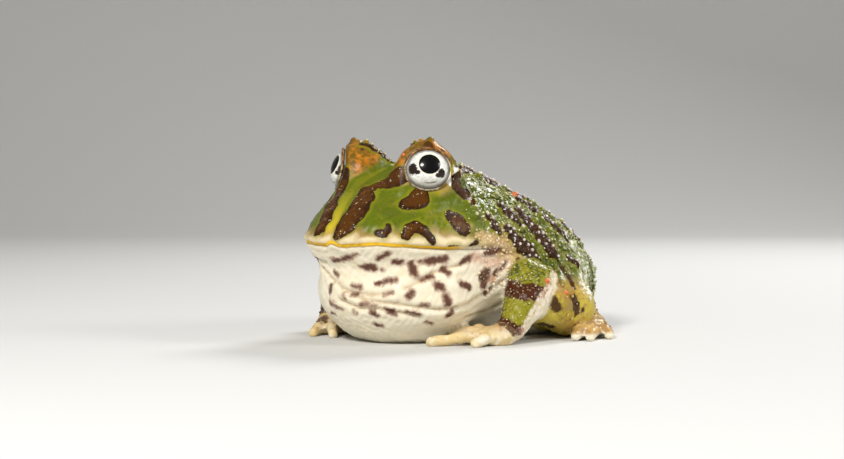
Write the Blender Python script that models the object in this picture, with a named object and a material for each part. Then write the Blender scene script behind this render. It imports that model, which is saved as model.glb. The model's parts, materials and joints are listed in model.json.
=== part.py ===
"""Argentine horned frog, Ceratophrys ornata, sitting at rest, life size.

The flesh is one smooth form described by a signed distance in millimetres.
It is cut into named nodes along the joints, each 0.3 mm from its neighbour.
X is the frog's left, -Y is the way it faces, +Z is up, the floor is z = 0.
"""
import math
import random

import bmesh
import bpy
import numpy as np
from mathutils import Matrix, Vector
from mathutils.bvhtree import BVHTree

# Whole animal
MM = 0.001
GAP = 0.3
SHIFT_Y = -5.98
COARSE_CELL = 0.9
FINE_CELL = 0.75
FLESH_TRIANGLES = 4700

# Head
MOUTH_Z = 16.5
WIDEST_Z = 17.4
HEAD_MIDDLE_Y = 2.0
HEAD_REACH = 25.8
HEAD_HALF_WIDTH = 16.1
HEAD_BACK = 15.0
HEAD_SQUARENESS = 2.4
HEAD_UP = 14.6
HEAD_DOWN = 9.5
NAPE_DROP = 2.0
NAPE = (-10.0, 8.0)
CHIN_INSET = 0.35
NECK_Y = 1.6
NOSTRIL = (2.6, -17.2, 27.0)
NOSTRIL_RADIUS = 0.55

# Eyes, lids and horns
EYE = (8.3, -9.6, 28.65)
EYE_RADIUS = 4.25
EYE_YAW = 47.0
EYE_RISE = 10.0
ORBIT_RADII = (5.25, 5.25, 5.1)
ORBIT_INSET = 0.8
LID_GAP = (3.55, 3.2)
LID_GAP_UP = 0.05
LID_THICKNESS = 0.5
LID_SEAT = 4.65
HORN_ROOT = (-0.6, 0.6, 2.5)
HORN_TIP = (0.6, 0.3, 5.45)
HORN_ROOT_RADIUS = 3.0
HORN_TIP_RADIUS = 0.55

# Body
CHEST = ((0, 1.0, 14.2), (15.4, 14.5, 12.5))
BACK = ((0, 13.0, 11.6), (18.4, 20.3, 13.9))
BACK_TILT = -14.0
RUMP = ((0, 23.0, 8.9), (16.5, 12.7, 11.2))
THROAT = ((0, -7.0, 9.0), (14.6, 13.6, 10.0))

# Arms, left first: the frog leans a little on its left hand
UPPER_ARM_RADII = (3.8, 3.0)
FOREARM_RADII = (2.9, 3.3, 2.4)
PALM_RADII = (2.9, 3.1, 1.85)
FINGER_RADII = (1.05, 0.9, 0.85)
ARMS = {
    1: {
        "shoulder": (12.0, 2.6, 12.8),
        "elbow": (18.6, 7.0, 9.9),
        "wrist": (18.4, 0.6, 2.8),
        "palm": (17.8, -2.4, 1.5),
        "fingers": (
            ((16.4, -1.8, 1.6), (13.7, -2.6, 2.2), (11.0, -3.5, 0.85)),
            ((16.4, -3.2, 1.5), (13.9, -4.7, 2.0), (11.5, -6.3, 0.85)),
            ((16.8, -4.2, 1.3), (14.4, -8.0, 1.4), (11.4, -12.0, 0.7)),
            ((17.9, -4.4, 1.3), (18.3, -6.6, 1.3), (18.2, -8.6, 0.7)),
        ),
    },
    -1: {
        "shoulder": (-11.6, 0.4, 12.8),
        "elbow": (-19.6, 0.2, 9.2),
        "wrist": (-18.2, -5.2, 2.8),
        "palm": (-16.6, -7.0, 1.5),
        "fingers": (
            ((-15.4, -5.6, 1.6), (-13.4, -4.6, 2.1), (-11.6, -3.6, 0.85)),
            ((-15.1, -7.0, 1.5), (-13.3, -7.1, 1.9), (-11.6, -7.1, 0.85)),
            ((-15.4, -8.4, 1.4), (-13.2, -10.4, 1.5), (-10.8, -12.6, 0.7)),
            ((-16.5, -9.2, 1.3), (-15.8, -11.2, 1.3), (-15.2, -13.0, 0.7)),
        ),
    },
}

# Hind legs, folded against the flanks, the same on both sides
THIGH_RADII = (7.2, 6.8, 4.6)
SHANK_RADII = (4.2, 4.6, 2.5)
FOOT_RADII = (2.3, 1.9)
TOE_RADII = (1.15, 0.95, 0.8)
LEG = {
    "hip": (8.0, 23.5, 8.0),
    "knee": (18.4, 9.8, 7.0),
    "calf": (18.3, 15.8, 5.3),
    "heel": (14.3, 25.8, 2.8),
    "sole": (20.0, 22.0, 1.7),
    "toes": (
        ((19.7, 20.6, 1.3), (20.5, 17.6, 1.3), (21.2, 15.4, 0.8)),
        ((20.0, 20.2, 1.3), (21.4, 16.2, 1.4), (22.3, 13.0, 0.8)),
        ((20.3, 20.0, 1.3), (22.5, 15.4, 1.5), (23.8, 11.0, 0.8)),
        ((20.7, 20.4, 1.3), (23.8, 16.4, 1.4), (25.7, 12.7, 0.8)),
        ((20.9, 21.4, 1.3), (24.1, 19.4, 1.2), (26.1, 17.6, 0.7)),
    ),
}

# Warts: base radius and height of each named size
WARTS = {"small": (0.55, 0.55), "middle": (0.75, 0.8), "large": (0.95, 1.15)}
WART_SIDES = 5
WART_ROOT = 0.8
WART_TOP = 0.3
WART_SEED = 7


def smooth_min(a, b, k):
    h = np.clip(0.5 + 0.5 * (b - a) / k, 0.0, 1.0)
    return b * (1 - h) + a * h - k * h * (1 - h)


def ellipsoid(p, centre, radii, pitch=0.0):
    q = p - np.asarray(centre, float)
    c = math.cos(math.radians(pitch))
    s = math.sin(math.radians(pitch))
    x, y, z = q[:, 0], q[:, 1], q[:, 2]
    q = np.stack([x, c * y + s * z, -s * y + c * z], 1)
    r = np.asarray(radii, float)
    k0 = np.linalg.norm(q / r, axis=1)
    k1 = np.linalg.norm(q / r**2, axis=1) + 1e-9
    return k0 * (k0 - 1.0) / k1


def limb(p, a, b, ra, rb):
    a = np.asarray(a, float)
    d = np.asarray(b, float) - a
    t = np.clip((p - a) @ d / (d @ d), 0.0, 1.0)
    return np.linalg.norm(p - a - t[:, None] * d, axis=1) - (ra + (rb - ra) * t)


def chain(p, points, radii, k):
    out = limb(p, points[0], points[1], radii[0], radii[1])
    for i in range(1, len(points) - 1):
        out = smooth_min(out, limb(p, points[i], points[i + 1], radii[i], radii[i + 1]), k)
    return out


def mirrored(point, side):
    return np.array((point[0] * side, point[1], point[2]), float)


def optical_axis(side):
    a = math.radians(EYE_YAW)
    e = math.radians(EYE_RISE)
    return np.array([side * math.sin(a) * math.cos(e), -math.cos(a) * math.cos(e), math.sin(e)])


def head(p):
    """Wedge of the skull, lower towards the nape, over the lip line and the shallower jaw under it."""
    over = np.clip((p[:, 2] - MOUTH_Z + 0.5) / 1.0, 0.0, 1.0)
    grow = -CHIN_INSET * (1 - over * over * (3 - 2 * over))
    forward = (HEAD_MIDDLE_Y - p[:, 1]) / (HEAD_REACH + grow)
    u = np.where(forward > 0, forward, (p[:, 1] - HEAD_MIDDLE_Y) / HEAD_BACK)
    v = np.abs(p[:, 0]) / (HEAD_HALF_WIDTH + grow)
    n = HEAD_SQUARENESS
    rho = (np.abs(u) ** n + v**n) ** (1 / n)
    nape = np.clip((p[:, 1] - NAPE[0]) / (NAPE[1] - NAPE[0]), 0.0, 1.0)
    high = HEAD_UP - NAPE_DROP * nape * nape * (3 - 2 * nape)
    up = np.clip((p[:, 2] - WIDEST_Z) / high, 0, None)
    down = np.clip((WIDEST_Z - p[:, 2]) / HEAD_DOWN, 0, None)
    skull = (rho**1.62 + up**1.57) ** (1 / 1.6)
    jaw = (rho**2.6 + down**1.6) ** (1 / 2.1)
    return (np.where(p[:, 2] > WIDEST_Z, skull, jaw) - 1.0) * 11.0


def trunk(p):
    d = ellipsoid(p, *CHEST)
    d = smooth_min(d, ellipsoid(p, *BACK, pitch=BACK_TILT), 5.0)
    d = smooth_min(d, ellipsoid(p, *RUMP), 3.0)
    return smooth_min(d, ellipsoid(p, *THROAT), 2.5)


def with_orbits(p, d):
    for side in (1, -1):
        c = mirrored(EYE, side)
        brow = c + mirrored((-1.6, 1.4, -3.3), side)
        d = smooth_min(d, ellipsoid(p, brow, (4.6, 5.6, 4.4)), 3.0)
        d = smooth_min(d, ellipsoid(p, c - optical_axis(side) * ORBIT_INSET, ORBIT_RADII), 1.8)
        root = c + mirrored(HORN_ROOT, side)
        tip = c + mirrored(HORN_TIP, side)
        d = smooth_min(d, limb(p, root, tip, HORN_ROOT_RADIUS, HORN_TIP_RADIUS), 1.6)
    return d


def forearm_middle(arm):
    elbow = np.array(arm["elbow"], float)
    wrist = np.array(arm["wrist"], float)
    return elbow + (wrist - elbow) * 0.45 + np.array([0, 0, 0.2])


def arm_form(p, side):
    arm = ARMS[side]
    d = limb(p, arm["shoulder"], arm["elbow"], *UPPER_ARM_RADII)
    fore = chain(p, (arm["elbow"], forearm_middle(arm), arm["wrist"]), FOREARM_RADII, 1.2)
    d = smooth_min(d, fore, 1.6)
    hand = ellipsoid(p, arm["palm"], PALM_RADII)
    for finger in arm["fingers"]:
        hand = smooth_min(hand, chain(p, finger, FINGER_RADII, 0.5), 0.7)
    return smooth_min(d, hand, 1.4)


def thigh_middle():
    hip = np.array(LEG["hip"], float)
    knee = np.array(LEG["knee"], float)
    return hip + (knee - hip) * 0.5 + np.array([0, 0, 0.6])


def leg_form(p, side):
    q = p * np.array([side, 1, 1])
    d = chain(q, (LEG["hip"], thigh_middle(), LEG["knee"]), THIGH_RADII, 2.0)
    d = smooth_min(d, chain(q, (LEG["knee"], LEG["calf"], LEG["heel"]), SHANK_RADII, 1.5), 0.8)
    foot = limb(q, LEG["heel"], LEG["sole"], *FOOT_RADII)
    for toe in LEG["toes"]:
        foot = smooth_min(foot, chain(q, toe, TOE_RADII, 0.5), 0.9)
    return smooth_min(d, foot, 0.8)


def near(p, points, reach, form):
    """The form where it can matter, a plain large distance elsewhere."""
    points = np.array(points, float)
    inside = np.all((p > points.min(0) - reach) & (p < points.max(0) + reach), axis=1)
    out = np.full(len(p), 9.0)
    if inside.any():
        out[inside] = form(p[inside])
    return out


def arm_points(side):
    arm = ARMS[side]
    return [arm["shoulder"], arm["elbow"], arm["wrist"], arm["palm"]] + [q for f in arm["fingers"] for q in f]


def leg_points(side):
    points = [LEG["hip"], LEG["knee"], LEG["calf"], LEG["heel"], LEG["sole"]]
    points += [q for toe in LEG["toes"] for q in toe]
    return [mirrored(q, side) for q in points]


def flesh(p):
    d = smooth_min(head(p), trunk(p), 2.2)
    d = with_orbits(p, d)
    for side in (1, -1):
        d = smooth_min(d, near(p, arm_points(side), 7.5, lambda q: arm_form(q, side)), 1.0)
        d = smooth_min(d, near(p, leg_points(side), 9.5, lambda q: leg_form(q, side)), 1.3)
    return d


def slope(p, step=0.02):
    corners = np.array([(1, -1, -1), (-1, -1, 1), (-1, 1, -1), (1, 1, 1)], float)
    return sum(c * flesh(p + c * step)[:, None] for c in corners) / (4 * step)


def settle(p, rounds):
    """Moves points on to the skin along the slope of the field."""
    for _ in range(rounds):
        g = slope(p)
        s = flesh(p) / np.maximum((g * g).sum(1), 0.05)
        p = p - np.clip(s, -0.8, 0.8)[:, None] * g
    return p


def new_object(name, bm):
    mesh = bpy.data.meshes.new(name)
    bm.to_mesh(mesh)
    bm.free()
    made = bpy.data.objects.new(name, mesh)
    bpy.context.scene.collection.objects.link(made)
    return made


def drop(thing):
    mesh = thing.data
    bpy.data.objects.remove(thing)
    bpy.data.meshes.remove(mesh)


def bake(thing):
    """Applies the modifiers of a working object to its own mesh."""
    graph = bpy.context.evaluated_depsgraph_get()
    made = bpy.data.meshes.new_from_object(thing.evaluated_get(graph))
    thing.modifiers.clear()
    old = thing.data
    thing.data = made
    bpy.data.meshes.remove(old)


def places(thing):
    co = np.empty(len(thing.data.vertices) * 3, np.float32)
    thing.data.vertices.foreach_get("co", co)
    return co.reshape(-1, 3).astype(float)


def put(thing, co):
    thing.data.vertices.foreach_set("co", co.astype(np.float32).ravel())
    thing.data.update()


def remesh(thing, cell):
    modifier = thing.modifiers.new("remesh", "REMESH")
    modifier.mode = "VOXEL"
    modifier.voxel_size = cell
    bake(thing)


def relax(thing, rounds):
    bm = bmesh.new()
    bm.from_mesh(thing.data)
    for _ in range(rounds):
        bmesh.ops.smooth_vert(bm, verts=bm.verts, factor=0.5, use_axis_x=True, use_axis_y=True, use_axis_z=True)
    bm.to_mesh(thing.data)
    bm.free()


def ball(bm, centre, radii, fineness=3):
    place = Matrix.Translation(Vector(centre)) @ Matrix.Diagonal((*radii, 1.0))
    bmesh.ops.create_icosphere(bm, subdivisions=fineness, radius=1.0, matrix=place)


def row_of_balls(bm, a, b, ra, rb):
    a = Vector(a)
    b = Vector(b)
    count = max(2, int((b - a).length / (0.7 * min(ra, rb))) + 1)
    for i in range(count + 1):
        t = i / count
        ball(bm, a.lerp(b, t), (ra + (rb - ra) * t,) * 3)


def rough_flesh():
    """Overlapping balls that the smooth form is drawn over."""
    bm = bmesh.new()
    ball(bm, (0, -4, 20), (16, 20, 9))
    ball(bm, (0, 2, 15), (15, 15, 13.6))
    ball(bm, *BACK)
    ball(bm, *RUMP)
    ball(bm, *THROAT)
    for side in (1, -1):
        c = mirrored(EYE, side)
        ball(bm, c, (4.8,) * 3)
        row_of_balls(bm, c + mirrored(HORN_ROOT, side), c + mirrored(HORN_TIP, side), 2.4, 0.9)
        arm = ARMS[side]
        row_of_balls(bm, arm["shoulder"], arm["elbow"], 4.2, 3.2)
        row_of_balls(bm, arm["elbow"], arm["wrist"], 3.1, 2.2)
        ball(bm, arm["palm"], (2.7, 2.9, 1.7))
        for finger in arm["fingers"]:
            row_of_balls(bm, finger[0], finger[1], 1.1, 1.0)
            row_of_balls(bm, finger[1], finger[2], 1.0, 1.0)
        bones = {name: mirrored(LEG[name], side) for name in ("hip", "knee", "calf", "heel", "sole")}
        row_of_balls(bm, bones["hip"], bones["knee"], 6.4, 4.4)
        row_of_balls(bm, bones["knee"], bones["calf"], 3.9, 4.2)
        row_of_balls(bm, bones["calf"], bones["heel"], 4.2, 2.4)
        row_of_balls(bm, bones["heel"], bones["sole"], 2.1, 1.9)
        for toe in LEG["toes"]:
            row_of_balls(bm, mirrored(toe[0], side), mirrored(toe[1], side), 1.1, 1.0)
            row_of_balls(bm, mirrored(toe[1], side), mirrored(toe[2], side), 1.0, 1.0)
    return new_object("flesh", bm)


def skin_form():
    body = rough_flesh()
    remesh(body, COARSE_CELL)
    put(body, settle(places(body), 4))
    remesh(body, FINE_CELL)
    put(body, settle(places(body), 2))
    relax(body, 2)
    put(body, settle(places(body), 2))
    modifier = body.modifiers.new("fewer", "DECIMATE")
    modifier.ratio = FLESH_TRIANGLES / (2 * len(body.data.polygons))
    bake(body)
    return body


def stand_flat(body):
    """Cuts the underside level at the floor and closes it with flat faces."""
    bm = bmesh.new()
    bm.from_mesh(body.data)
    bmesh.ops.triangulate(bm, faces=bm.faces)
    everything = bm.verts[:] + bm.edges[:] + bm.faces[:]
    cut = bmesh.ops.bisect_plane(
        bm, geom=everything, dist=0.0001, plane_co=(0, 0, 0), plane_no=(0, 0, -1), clear_outer=True
    )
    rim = [e for e in cut["geom_cut"] if isinstance(e, bmesh.types.BMEdge) and e.is_valid and e.is_boundary]
    bmesh.ops.holes_fill(bm, edges=rim, sides=0)
    bmesh.ops.triangulate(bm, faces=[f for f in bm.faces if len(f.verts) > 3])
    bmesh.ops.recalc_face_normals(bm, faces=bm.faces)
    bm.to_mesh(body.data)
    bm.free()


def largest(thing):
    """Keeps the closed surface with the most volume."""
    bm = bmesh.new()
    bm.from_mesh(thing.data)
    bm.faces.ensure_lookup_table()
    seen = set()
    groups = []
    for first in bm.faces:
        if first in seen:
            continue
        seen.add(first)
        group = [first]
        for face in group:
            for edge in face.edges:
                for other in edge.link_faces:
                    if other not in seen:
                        seen.add(other)
                        group.append(other)
        groups.append(group)
    if len(groups) > 1:

        def volume(group):
            total = 0.0
            for face in group:
                corners = [v.co for v in face.verts]
                for i in range(1, len(corners) - 1):
                    total += corners[0].dot(corners[i].cross(corners[i + 1]))
            return abs(total)

        kept = max(groups, key=volume)
        spare = [f for group in groups if group is not kept for f in group]
        bmesh.ops.delete(bm, geom=spare, context="FACES")
    loose = [v for v in bm.verts if not v.link_faces]
    bmesh.ops.delete(bm, geom=loose, context="VERTS")
    bm.to_mesh(thing.data)
    bm.free()


def combine(thing, other, operation):
    modifier = thing.modifiers.new("cut", "BOOLEAN")
    modifier.operation = operation
    modifier.solver = "EXACT"
    modifier.object = other
    bake(thing)
    largest(thing)


def hull(balls, grow):
    """Convex body round a few balls, each a centre and a radius."""
    bm = bmesh.new()
    for centre, radius in balls:
        ball(bm, centre, (radius + grow,) * 3, 2)
    made = bmesh.ops.convex_hull(bm, input=bm.verts)
    inner = {g for g in made["geom_interior"] if isinstance(g, bmesh.types.BMVert)}
    bmesh.ops.delete(bm, geom=list(inner), context="VERTS")
    used = {f for f in made["geom"] if isinstance(f, bmesh.types.BMFace)}
    spare = [f for f in bm.faces if f not in used]
    bmesh.ops.delete(bm, geom=spare, context="FACES_ONLY")
    wires = [e for e in bm.edges if not e.link_faces]
    bmesh.ops.delete(bm, geom=wires, context="EDGES")
    loose = [v for v in bm.verts if not v.link_faces]
    bmesh.ops.delete(bm, geom=loose, context="VERTS")
    bmesh.ops.recalc_face_normals(bm, faces=bm.faces)
    return new_object("zone", bm)


def block(low, high):
    bm = bmesh.new()
    middle = (Vector(low) + Vector(high)) / 2
    size = Vector(high) - Vector(low)
    place = Matrix.Translation(middle) @ Matrix.Diagonal((*size, 1.0))
    bmesh.ops.create_cube(bm, size=1.0, matrix=place)
    return new_object("block", bm)


def copy_of(thing, name):
    made = bpy.data.objects.new(name, thing.data.copy())
    bpy.context.scene.collection.objects.link(made)
    return made


def take(rest, name, balls):
    """Cuts one node out of the rest and leaves the gap round it."""
    node = copy_of(rest, name)
    zone = hull(balls, 0.0)
    combine(node, zone, "INTERSECT")
    drop(zone)
    wider = hull(balls, GAP)
    combine(rest, wider, "DIFFERENCE")
    drop(wider)
    return node


def keep_in(thing, low, high):
    zone = block(low, high)
    combine(thing, zone, "INTERSECT")
    drop(zone)


def eye_frame(side):
    axis = Vector(optical_axis(side))
    across = Vector((0, 0, 1)).cross(axis).normalized()
    return axis, across, axis.cross(across).normalized()


def lid_line(side, turn, wider):
    """Point over the eyeball on the oval line of the lids, wider than their gap."""
    axis, across, up = eye_frame(side)
    u = (LID_GAP[0] + wider) * math.cos(turn)
    v = (LID_GAP[1] + wider) * math.sin(turn) + LID_GAP_UP
    out = math.sqrt(LID_SEAT**2 - u * u - v * v)
    return Vector(mirrored(EYE, side)) + across * u + up * v + axis * out


def lid_ring(side):
    c = Vector(mirrored(EYE, side))
    bm = bmesh.new()
    rows = []
    for i in range(20):
        a = 2 * math.pi * i / 20
        middle = lid_line(side, a, 0.35)
        along = lid_line(side, a + 0.05, 0.35) - lid_line(side, a - 0.05, 0.35)
        out = (middle - c).normalized()
        aside = along.cross(out).normalized()
        row = []
        for j in range(6):
            b = 2 * math.pi * j / 6
            row.append(bm.verts.new(middle + (out * math.cos(b) + aside * math.sin(b)) * LID_THICKNESS))
        rows.append(row)
    for i in range(20):
        for j in range(6):
            k = (i + 1) % 20
            m = (j + 1) % 6
            bm.faces.new((rows[i][j], rows[k][j], rows[k][m], rows[i][m]))
    bmesh.ops.recalc_face_normals(bm, faces=bm.faces)
    return new_object("lid", bm)


def lid_gap(side):
    """Oval bar through the gap of the lids."""
    axis, across, up = eye_frame(side)
    place = Matrix((across, up, axis)).transposed().to_4x4()
    place.translation = Vector(mirrored(EYE, side)) + up * LID_GAP_UP + axis * 5.0
    place = place @ Matrix.Diagonal((*LID_GAP, 1.0, 1.0))
    bm = bmesh.new()
    bmesh.ops.create_cone(bm, cap_ends=True, segments=20, radius1=1.0, radius2=1.0, depth=7.0, matrix=place)
    return new_object("gap", bm)


def round_body(name, centre, radius, rings, sides, axis):
    turn = Vector(axis).to_track_quat("Z", "Y").to_matrix().to_4x4()
    bm = bmesh.new()
    place = Matrix.Translation(Vector(centre)) @ turn
    bmesh.ops.create_uvsphere(bm, u_segments=sides, v_segments=rings, radius=radius, matrix=place)
    return new_object(name, bm)


def nostril(side):
    c = mirrored(NOSTRIL, side)
    c = settle(c[None, :], 3)[0]
    return round_body("nostril", c, NOSTRIL_RADIUS, 6, 8, slope(c[None, :])[0])


def wart(bm, foot, out, radius, height, spin):
    """Tapered cone with its root sunk under the skin."""
    turn = Vector(out).to_track_quat("Z", "Y").to_matrix()
    foot = Vector(foot)
    low = []
    high = []
    for i in range(WART_SIDES):
        a = spin + 2 * math.pi * i / WART_SIDES
        around = Vector((math.cos(a), math.sin(a), 0))
        low.append(bm.verts.new(foot + turn @ (around * radius * 1.15 - Vector((0, 0, WART_ROOT)))))
        high.append(bm.verts.new(foot + turn @ (around * radius * WART_TOP * 2 + Vector((0, 0, height * 0.55)))))
    tip = bm.verts.new(foot + turn @ Vector((0, 0, height)))
    for i in range(WART_SIDES):
        k = (i + 1) % WART_SIDES
        bm.faces.new((low[i], low[k], high[k], high[i]))
        bm.faces.new((high[i], high[k], tip))
    bm.faces.new(list(reversed(low)))


def wart_places():
    """Rows and drifts of warts over the back, flanks, lids and cheeks."""
    draw = random.Random(WART_SEED)
    found = []

    def scatter(count, xs, ys, z_from, sizes, apart):
        tries = 0
        made = 0
        while made < count and tries < 4000:
            tries += 1
            x = draw.uniform(*xs)
            y = draw.uniform(*ys)
            start = np.array([[x, y, z_from]])
            p = fall(start)
            size = draw.choice(sizes)
            if p is None or p[2] < 5.0:
                continue
            if all(np.linalg.norm(p - q) > apart for q, _ in found):
                found.append((p, size))
                made += 1

    for side in (1, -1):
        for i in range(9):
            y = 2.0 + i * 3.1
            x = side * (6.6 + 0.35 * i - 0.03 * i * i)
            p = fall(np.array([[x, y, 40.0]]))
            found.append((p, "large" if i % 2 else "middle"))
    scatter(70, (-17.5, 17.5), (3.5, 31.0), 40.0, ("small", "middle", "middle", "large"), 2.2)
    scatter(14, (-8.0, 8.0), (-9.0, 0.5), 45.0, ("small",), 1.8)
    scatter(12, (9.0, 14.5), (-5.0, 1.0), 40.0, ("small", "middle"), 1.7)
    scatter(12, (-14.5, -9.0), (-5.0, 1.0), 40.0, ("small", "middle"), 1.7)
    return found


def fall(start):
    """Drops a point straight down on to the skin."""
    z = np.arange(start[0, 2], 0.0, -0.25)
    line = np.stack([np.full_like(z, start[0, 0]), np.full_like(z, start[0, 1]), z], 1)
    inside = np.nonzero(flesh(line) < 0)[0]
    if not len(inside):
        return None
    return settle(line[inside[0] : inside[0] + 1], 2)[0]


def add_warts(nodes, owners):
    trees = {name: BVHTree.FromObject(nodes[name], bpy.context.evaluated_depsgraph_get()) for name in nodes}
    draw = random.Random(WART_SEED + 1)
    for owner in owners:
        group = bpy.data.collections.new("warts_" + owner)
        bpy.context.scene.collection.children.link(group)
        for p, size in wart_places():
            radius, height = WARTS[size]
            spin = draw.uniform(0, math.pi)
            _, _, _, off = trees[owner].find_nearest(Vector(p))
            others = min(
                (tree.find_nearest(Vector(p))[3] for name, tree in trees.items() if name != owner), default=9.0
            )
            if off > 0.5 or others < radius * 1.15 + 0.75:
                continue
            out = slope(np.array([p]))[0]
            bm = bmesh.new()
            wart(bm, p, out / np.linalg.norm(out), radius, height, spin)
            made = new_object("wart", bm)
            bpy.context.scene.collection.objects.unlink(made)
            group.objects.link(made)
        if len(group.objects):
            modifier = nodes[owner].modifiers.new("warts", "BOOLEAN")
            modifier.operation = "UNION"
            modifier.operand_type = "COLLECTION"
            modifier.solver = "EXACT"
            modifier.collection = group
            bake(nodes[owner])
            largest(nodes[owner])
        for made in list(group.objects):
            drop(made)
        bpy.data.collections.remove(group)


def painted(thing, name, colour, roughness):
    material = bpy.data.materials.new(name)
    material.use_nodes = True
    shader = material.node_tree.nodes["Principled BSDF"]
    shader.inputs["Base Color"].default_value = (*colour, 1.0)
    shader.inputs["Roughness"].default_value = roughness
    thing.data.materials.clear()
    thing.data.materials.append(material)


def finish(thing):
    """Triangles only, in metres, at the place of the whole animal."""
    bm = bmesh.new()
    bm.from_mesh(thing.data)
    bmesh.ops.triangulate(bm, faces=bm.faces)
    bmesh.ops.transform(bm, matrix=Matrix.Translation((0, SHIFT_Y, 0)), verts=bm.verts)
    bmesh.ops.transform(bm, matrix=Matrix.Scale(MM, 4), verts=bm.verts)
    bm.to_mesh(thing.data)
    bm.free()


def build():
    for old in list(bpy.data.objects):
        bpy.data.objects.remove(old)
    rest = skin_form()
    stand_flat(rest)
    nodes = {}

    for side in (1, -1):
        ring = lid_ring(side)
        combine(rest, ring, "UNION")
        drop(ring)
        socket = round_body("socket", mirrored(EYE, side), EYE_RADIUS + GAP, 10, 20, optical_axis(side))
        combine(rest, socket, "DIFFERENCE")
        drop(socket)
        gap = lid_gap(side)
        combine(rest, gap, "DIFFERENCE")
        drop(gap)
        pit = nostril(side)
        combine(rest, pit, "DIFFERENCE")
        drop(pit)

    for side, word in ((1, "left"), (-1, "right")):
        arm = ARMS[side]
        hand = [(arm["palm"], 3.3)] + [(q, 1.35) for finger in arm["fingers"] for q in finger[1:]]
        nodes["hand_" + word] = take(rest, "hand_" + word, hand)
        fore = [(arm["elbow"], 3.9), (forearm_middle(arm), 4.3), (arm["wrist"], 3.3)]
        nodes["forearm_" + word] = take(rest, "forearm_" + word, fore)
        shoulder = np.array(arm["shoulder"]) * 0.78 + np.array(arm["elbow"]) * 0.22
        upper = [(shoulder, 4.9), (arm["elbow"], 4.45)]
        nodes["upper_arm_" + word] = take(rest, "upper_arm_" + word, upper)

        bones = {name: mirrored(LEG[name], side) for name in ("hip", "knee", "calf", "heel", "sole")}
        foot = [(bones["heel"] * 0.7 + bones["sole"] * 0.3, 2.5), (bones["sole"], 2.6)]
        foot += [(mirrored(q, side), 1.35) for toe in LEG["toes"] for q in toe[1:]]
        nodes["foot_" + word] = take(rest, "foot_" + word, foot)
        shank = [(bones["knee"] + Vector((0, 1.5, -1.6)), 4.3), (bones["calf"], 5.1), (bones["heel"], 3.1)]
        nodes["shank_" + word] = take(rest, "shank_" + word, shank)
        thigh = [(mirrored((13.0, 21.5, 8.4), side), 6.3), (bones["knee"], 5.4)]
        nodes["thigh_" + word] = take(rest, "thigh_" + word, thigh)

        c = mirrored(EYE, side)
        lid = [(c + mirrored((-0.5, 0.6, 4.5), side), 2.7), (c + mirrored(HORN_TIP, side), 1.8)]
        nodes["horn_" + word] = take(rest, "horn_" + word, lid)

    torso = copy_of(rest, "torso")
    keep_in(torso, (-60, NECK_Y + GAP / 2, -20), (60, 80, 80))
    skull = copy_of(rest, "head")
    keep_in(skull, (-60, -80, MOUTH_Z + GAP / 2), (60, NECK_Y - GAP / 2, 80))
    jaw = copy_of(rest, "lower_jaw")
    keep_in(jaw, (-60, -80, -20), (60, NECK_Y - GAP / 2, MOUTH_Z - GAP / 2))
    drop(rest)
    nodes.update({"torso": torso, "head": skull, "lower_jaw": jaw})
    for side, word in ((1, "left"), (-1, "right")):
        eye = round_body("eye_" + word, mirrored(EYE, side), EYE_RADIUS, 11, 20, optical_axis(side))
        nodes["eye_" + word] = eye

    add_warts(nodes, ("torso", "head"))

    green = (0.16, 0.24, 0.05)
    cream = (0.72, 0.66, 0.46)
    brown = (0.20, 0.11, 0.05)
    colours = {
        "torso": green, "head": green, "lower_jaw": cream, "upper_arm": green, "forearm": brown, "hand": cream,
        "thigh": green, "shank": (0.30, 0.26, 0.09), "foot": brown, "horn": (0.55, 0.24, 0.06),
        "eye": (0.62, 0.62, 0.58),
    }
    for name, thing in nodes.items():
        kind = name.replace("_left", "").replace("_right", "")
        painted(thing, name + "_colour", colours[kind], 0.12 if kind == "eye" else 0.45)
        finish(thing)
        thing.name = name


build()
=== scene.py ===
"""Looks of the Argentine horned frog: one skin over the whole animal, its warts, eyelids and wet eyes.

Shapes are worked out in millimetres in the frog's own frame (x its left, -y ahead, z up from the floor)
and moved to the part's frame at the end. Markings are strokes laid on the skin, most of them given in
pixels of the photograph's 844 x 459 frame and carried on to the skin along the camera's rays.

The script gives the sizes and strokes first, then the smooth form, the strokes on the skin, the pieces, their
finishes and the studio, and puts them together at the end.
"""
import json
import math
import random

import bmesh
import bpy
import numpy as np
from mathutils import Matrix, Vector

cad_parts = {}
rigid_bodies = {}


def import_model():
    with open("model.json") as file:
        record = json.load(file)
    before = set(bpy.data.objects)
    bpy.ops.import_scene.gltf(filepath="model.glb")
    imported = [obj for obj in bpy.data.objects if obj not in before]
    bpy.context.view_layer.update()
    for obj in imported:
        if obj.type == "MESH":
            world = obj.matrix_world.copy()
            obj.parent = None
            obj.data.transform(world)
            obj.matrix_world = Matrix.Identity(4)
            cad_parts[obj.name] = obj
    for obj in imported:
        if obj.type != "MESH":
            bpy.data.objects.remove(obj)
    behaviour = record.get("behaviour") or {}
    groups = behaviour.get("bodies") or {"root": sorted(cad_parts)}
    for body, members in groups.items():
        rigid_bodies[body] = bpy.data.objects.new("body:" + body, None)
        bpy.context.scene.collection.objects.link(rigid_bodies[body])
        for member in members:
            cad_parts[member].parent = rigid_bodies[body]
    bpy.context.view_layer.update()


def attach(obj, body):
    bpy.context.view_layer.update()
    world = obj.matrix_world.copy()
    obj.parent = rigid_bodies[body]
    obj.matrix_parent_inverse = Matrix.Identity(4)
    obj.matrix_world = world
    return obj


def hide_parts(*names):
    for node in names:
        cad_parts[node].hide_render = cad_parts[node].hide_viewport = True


for left_over in list(bpy.data.objects):
    bpy.data.objects.remove(left_over)
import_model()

# A millimetre in the part's frame, the shift to its origin, and the frog's left and right
MM = 0.001
SHIFT_Y = -5.98
SIDES = (1, -1)

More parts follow.
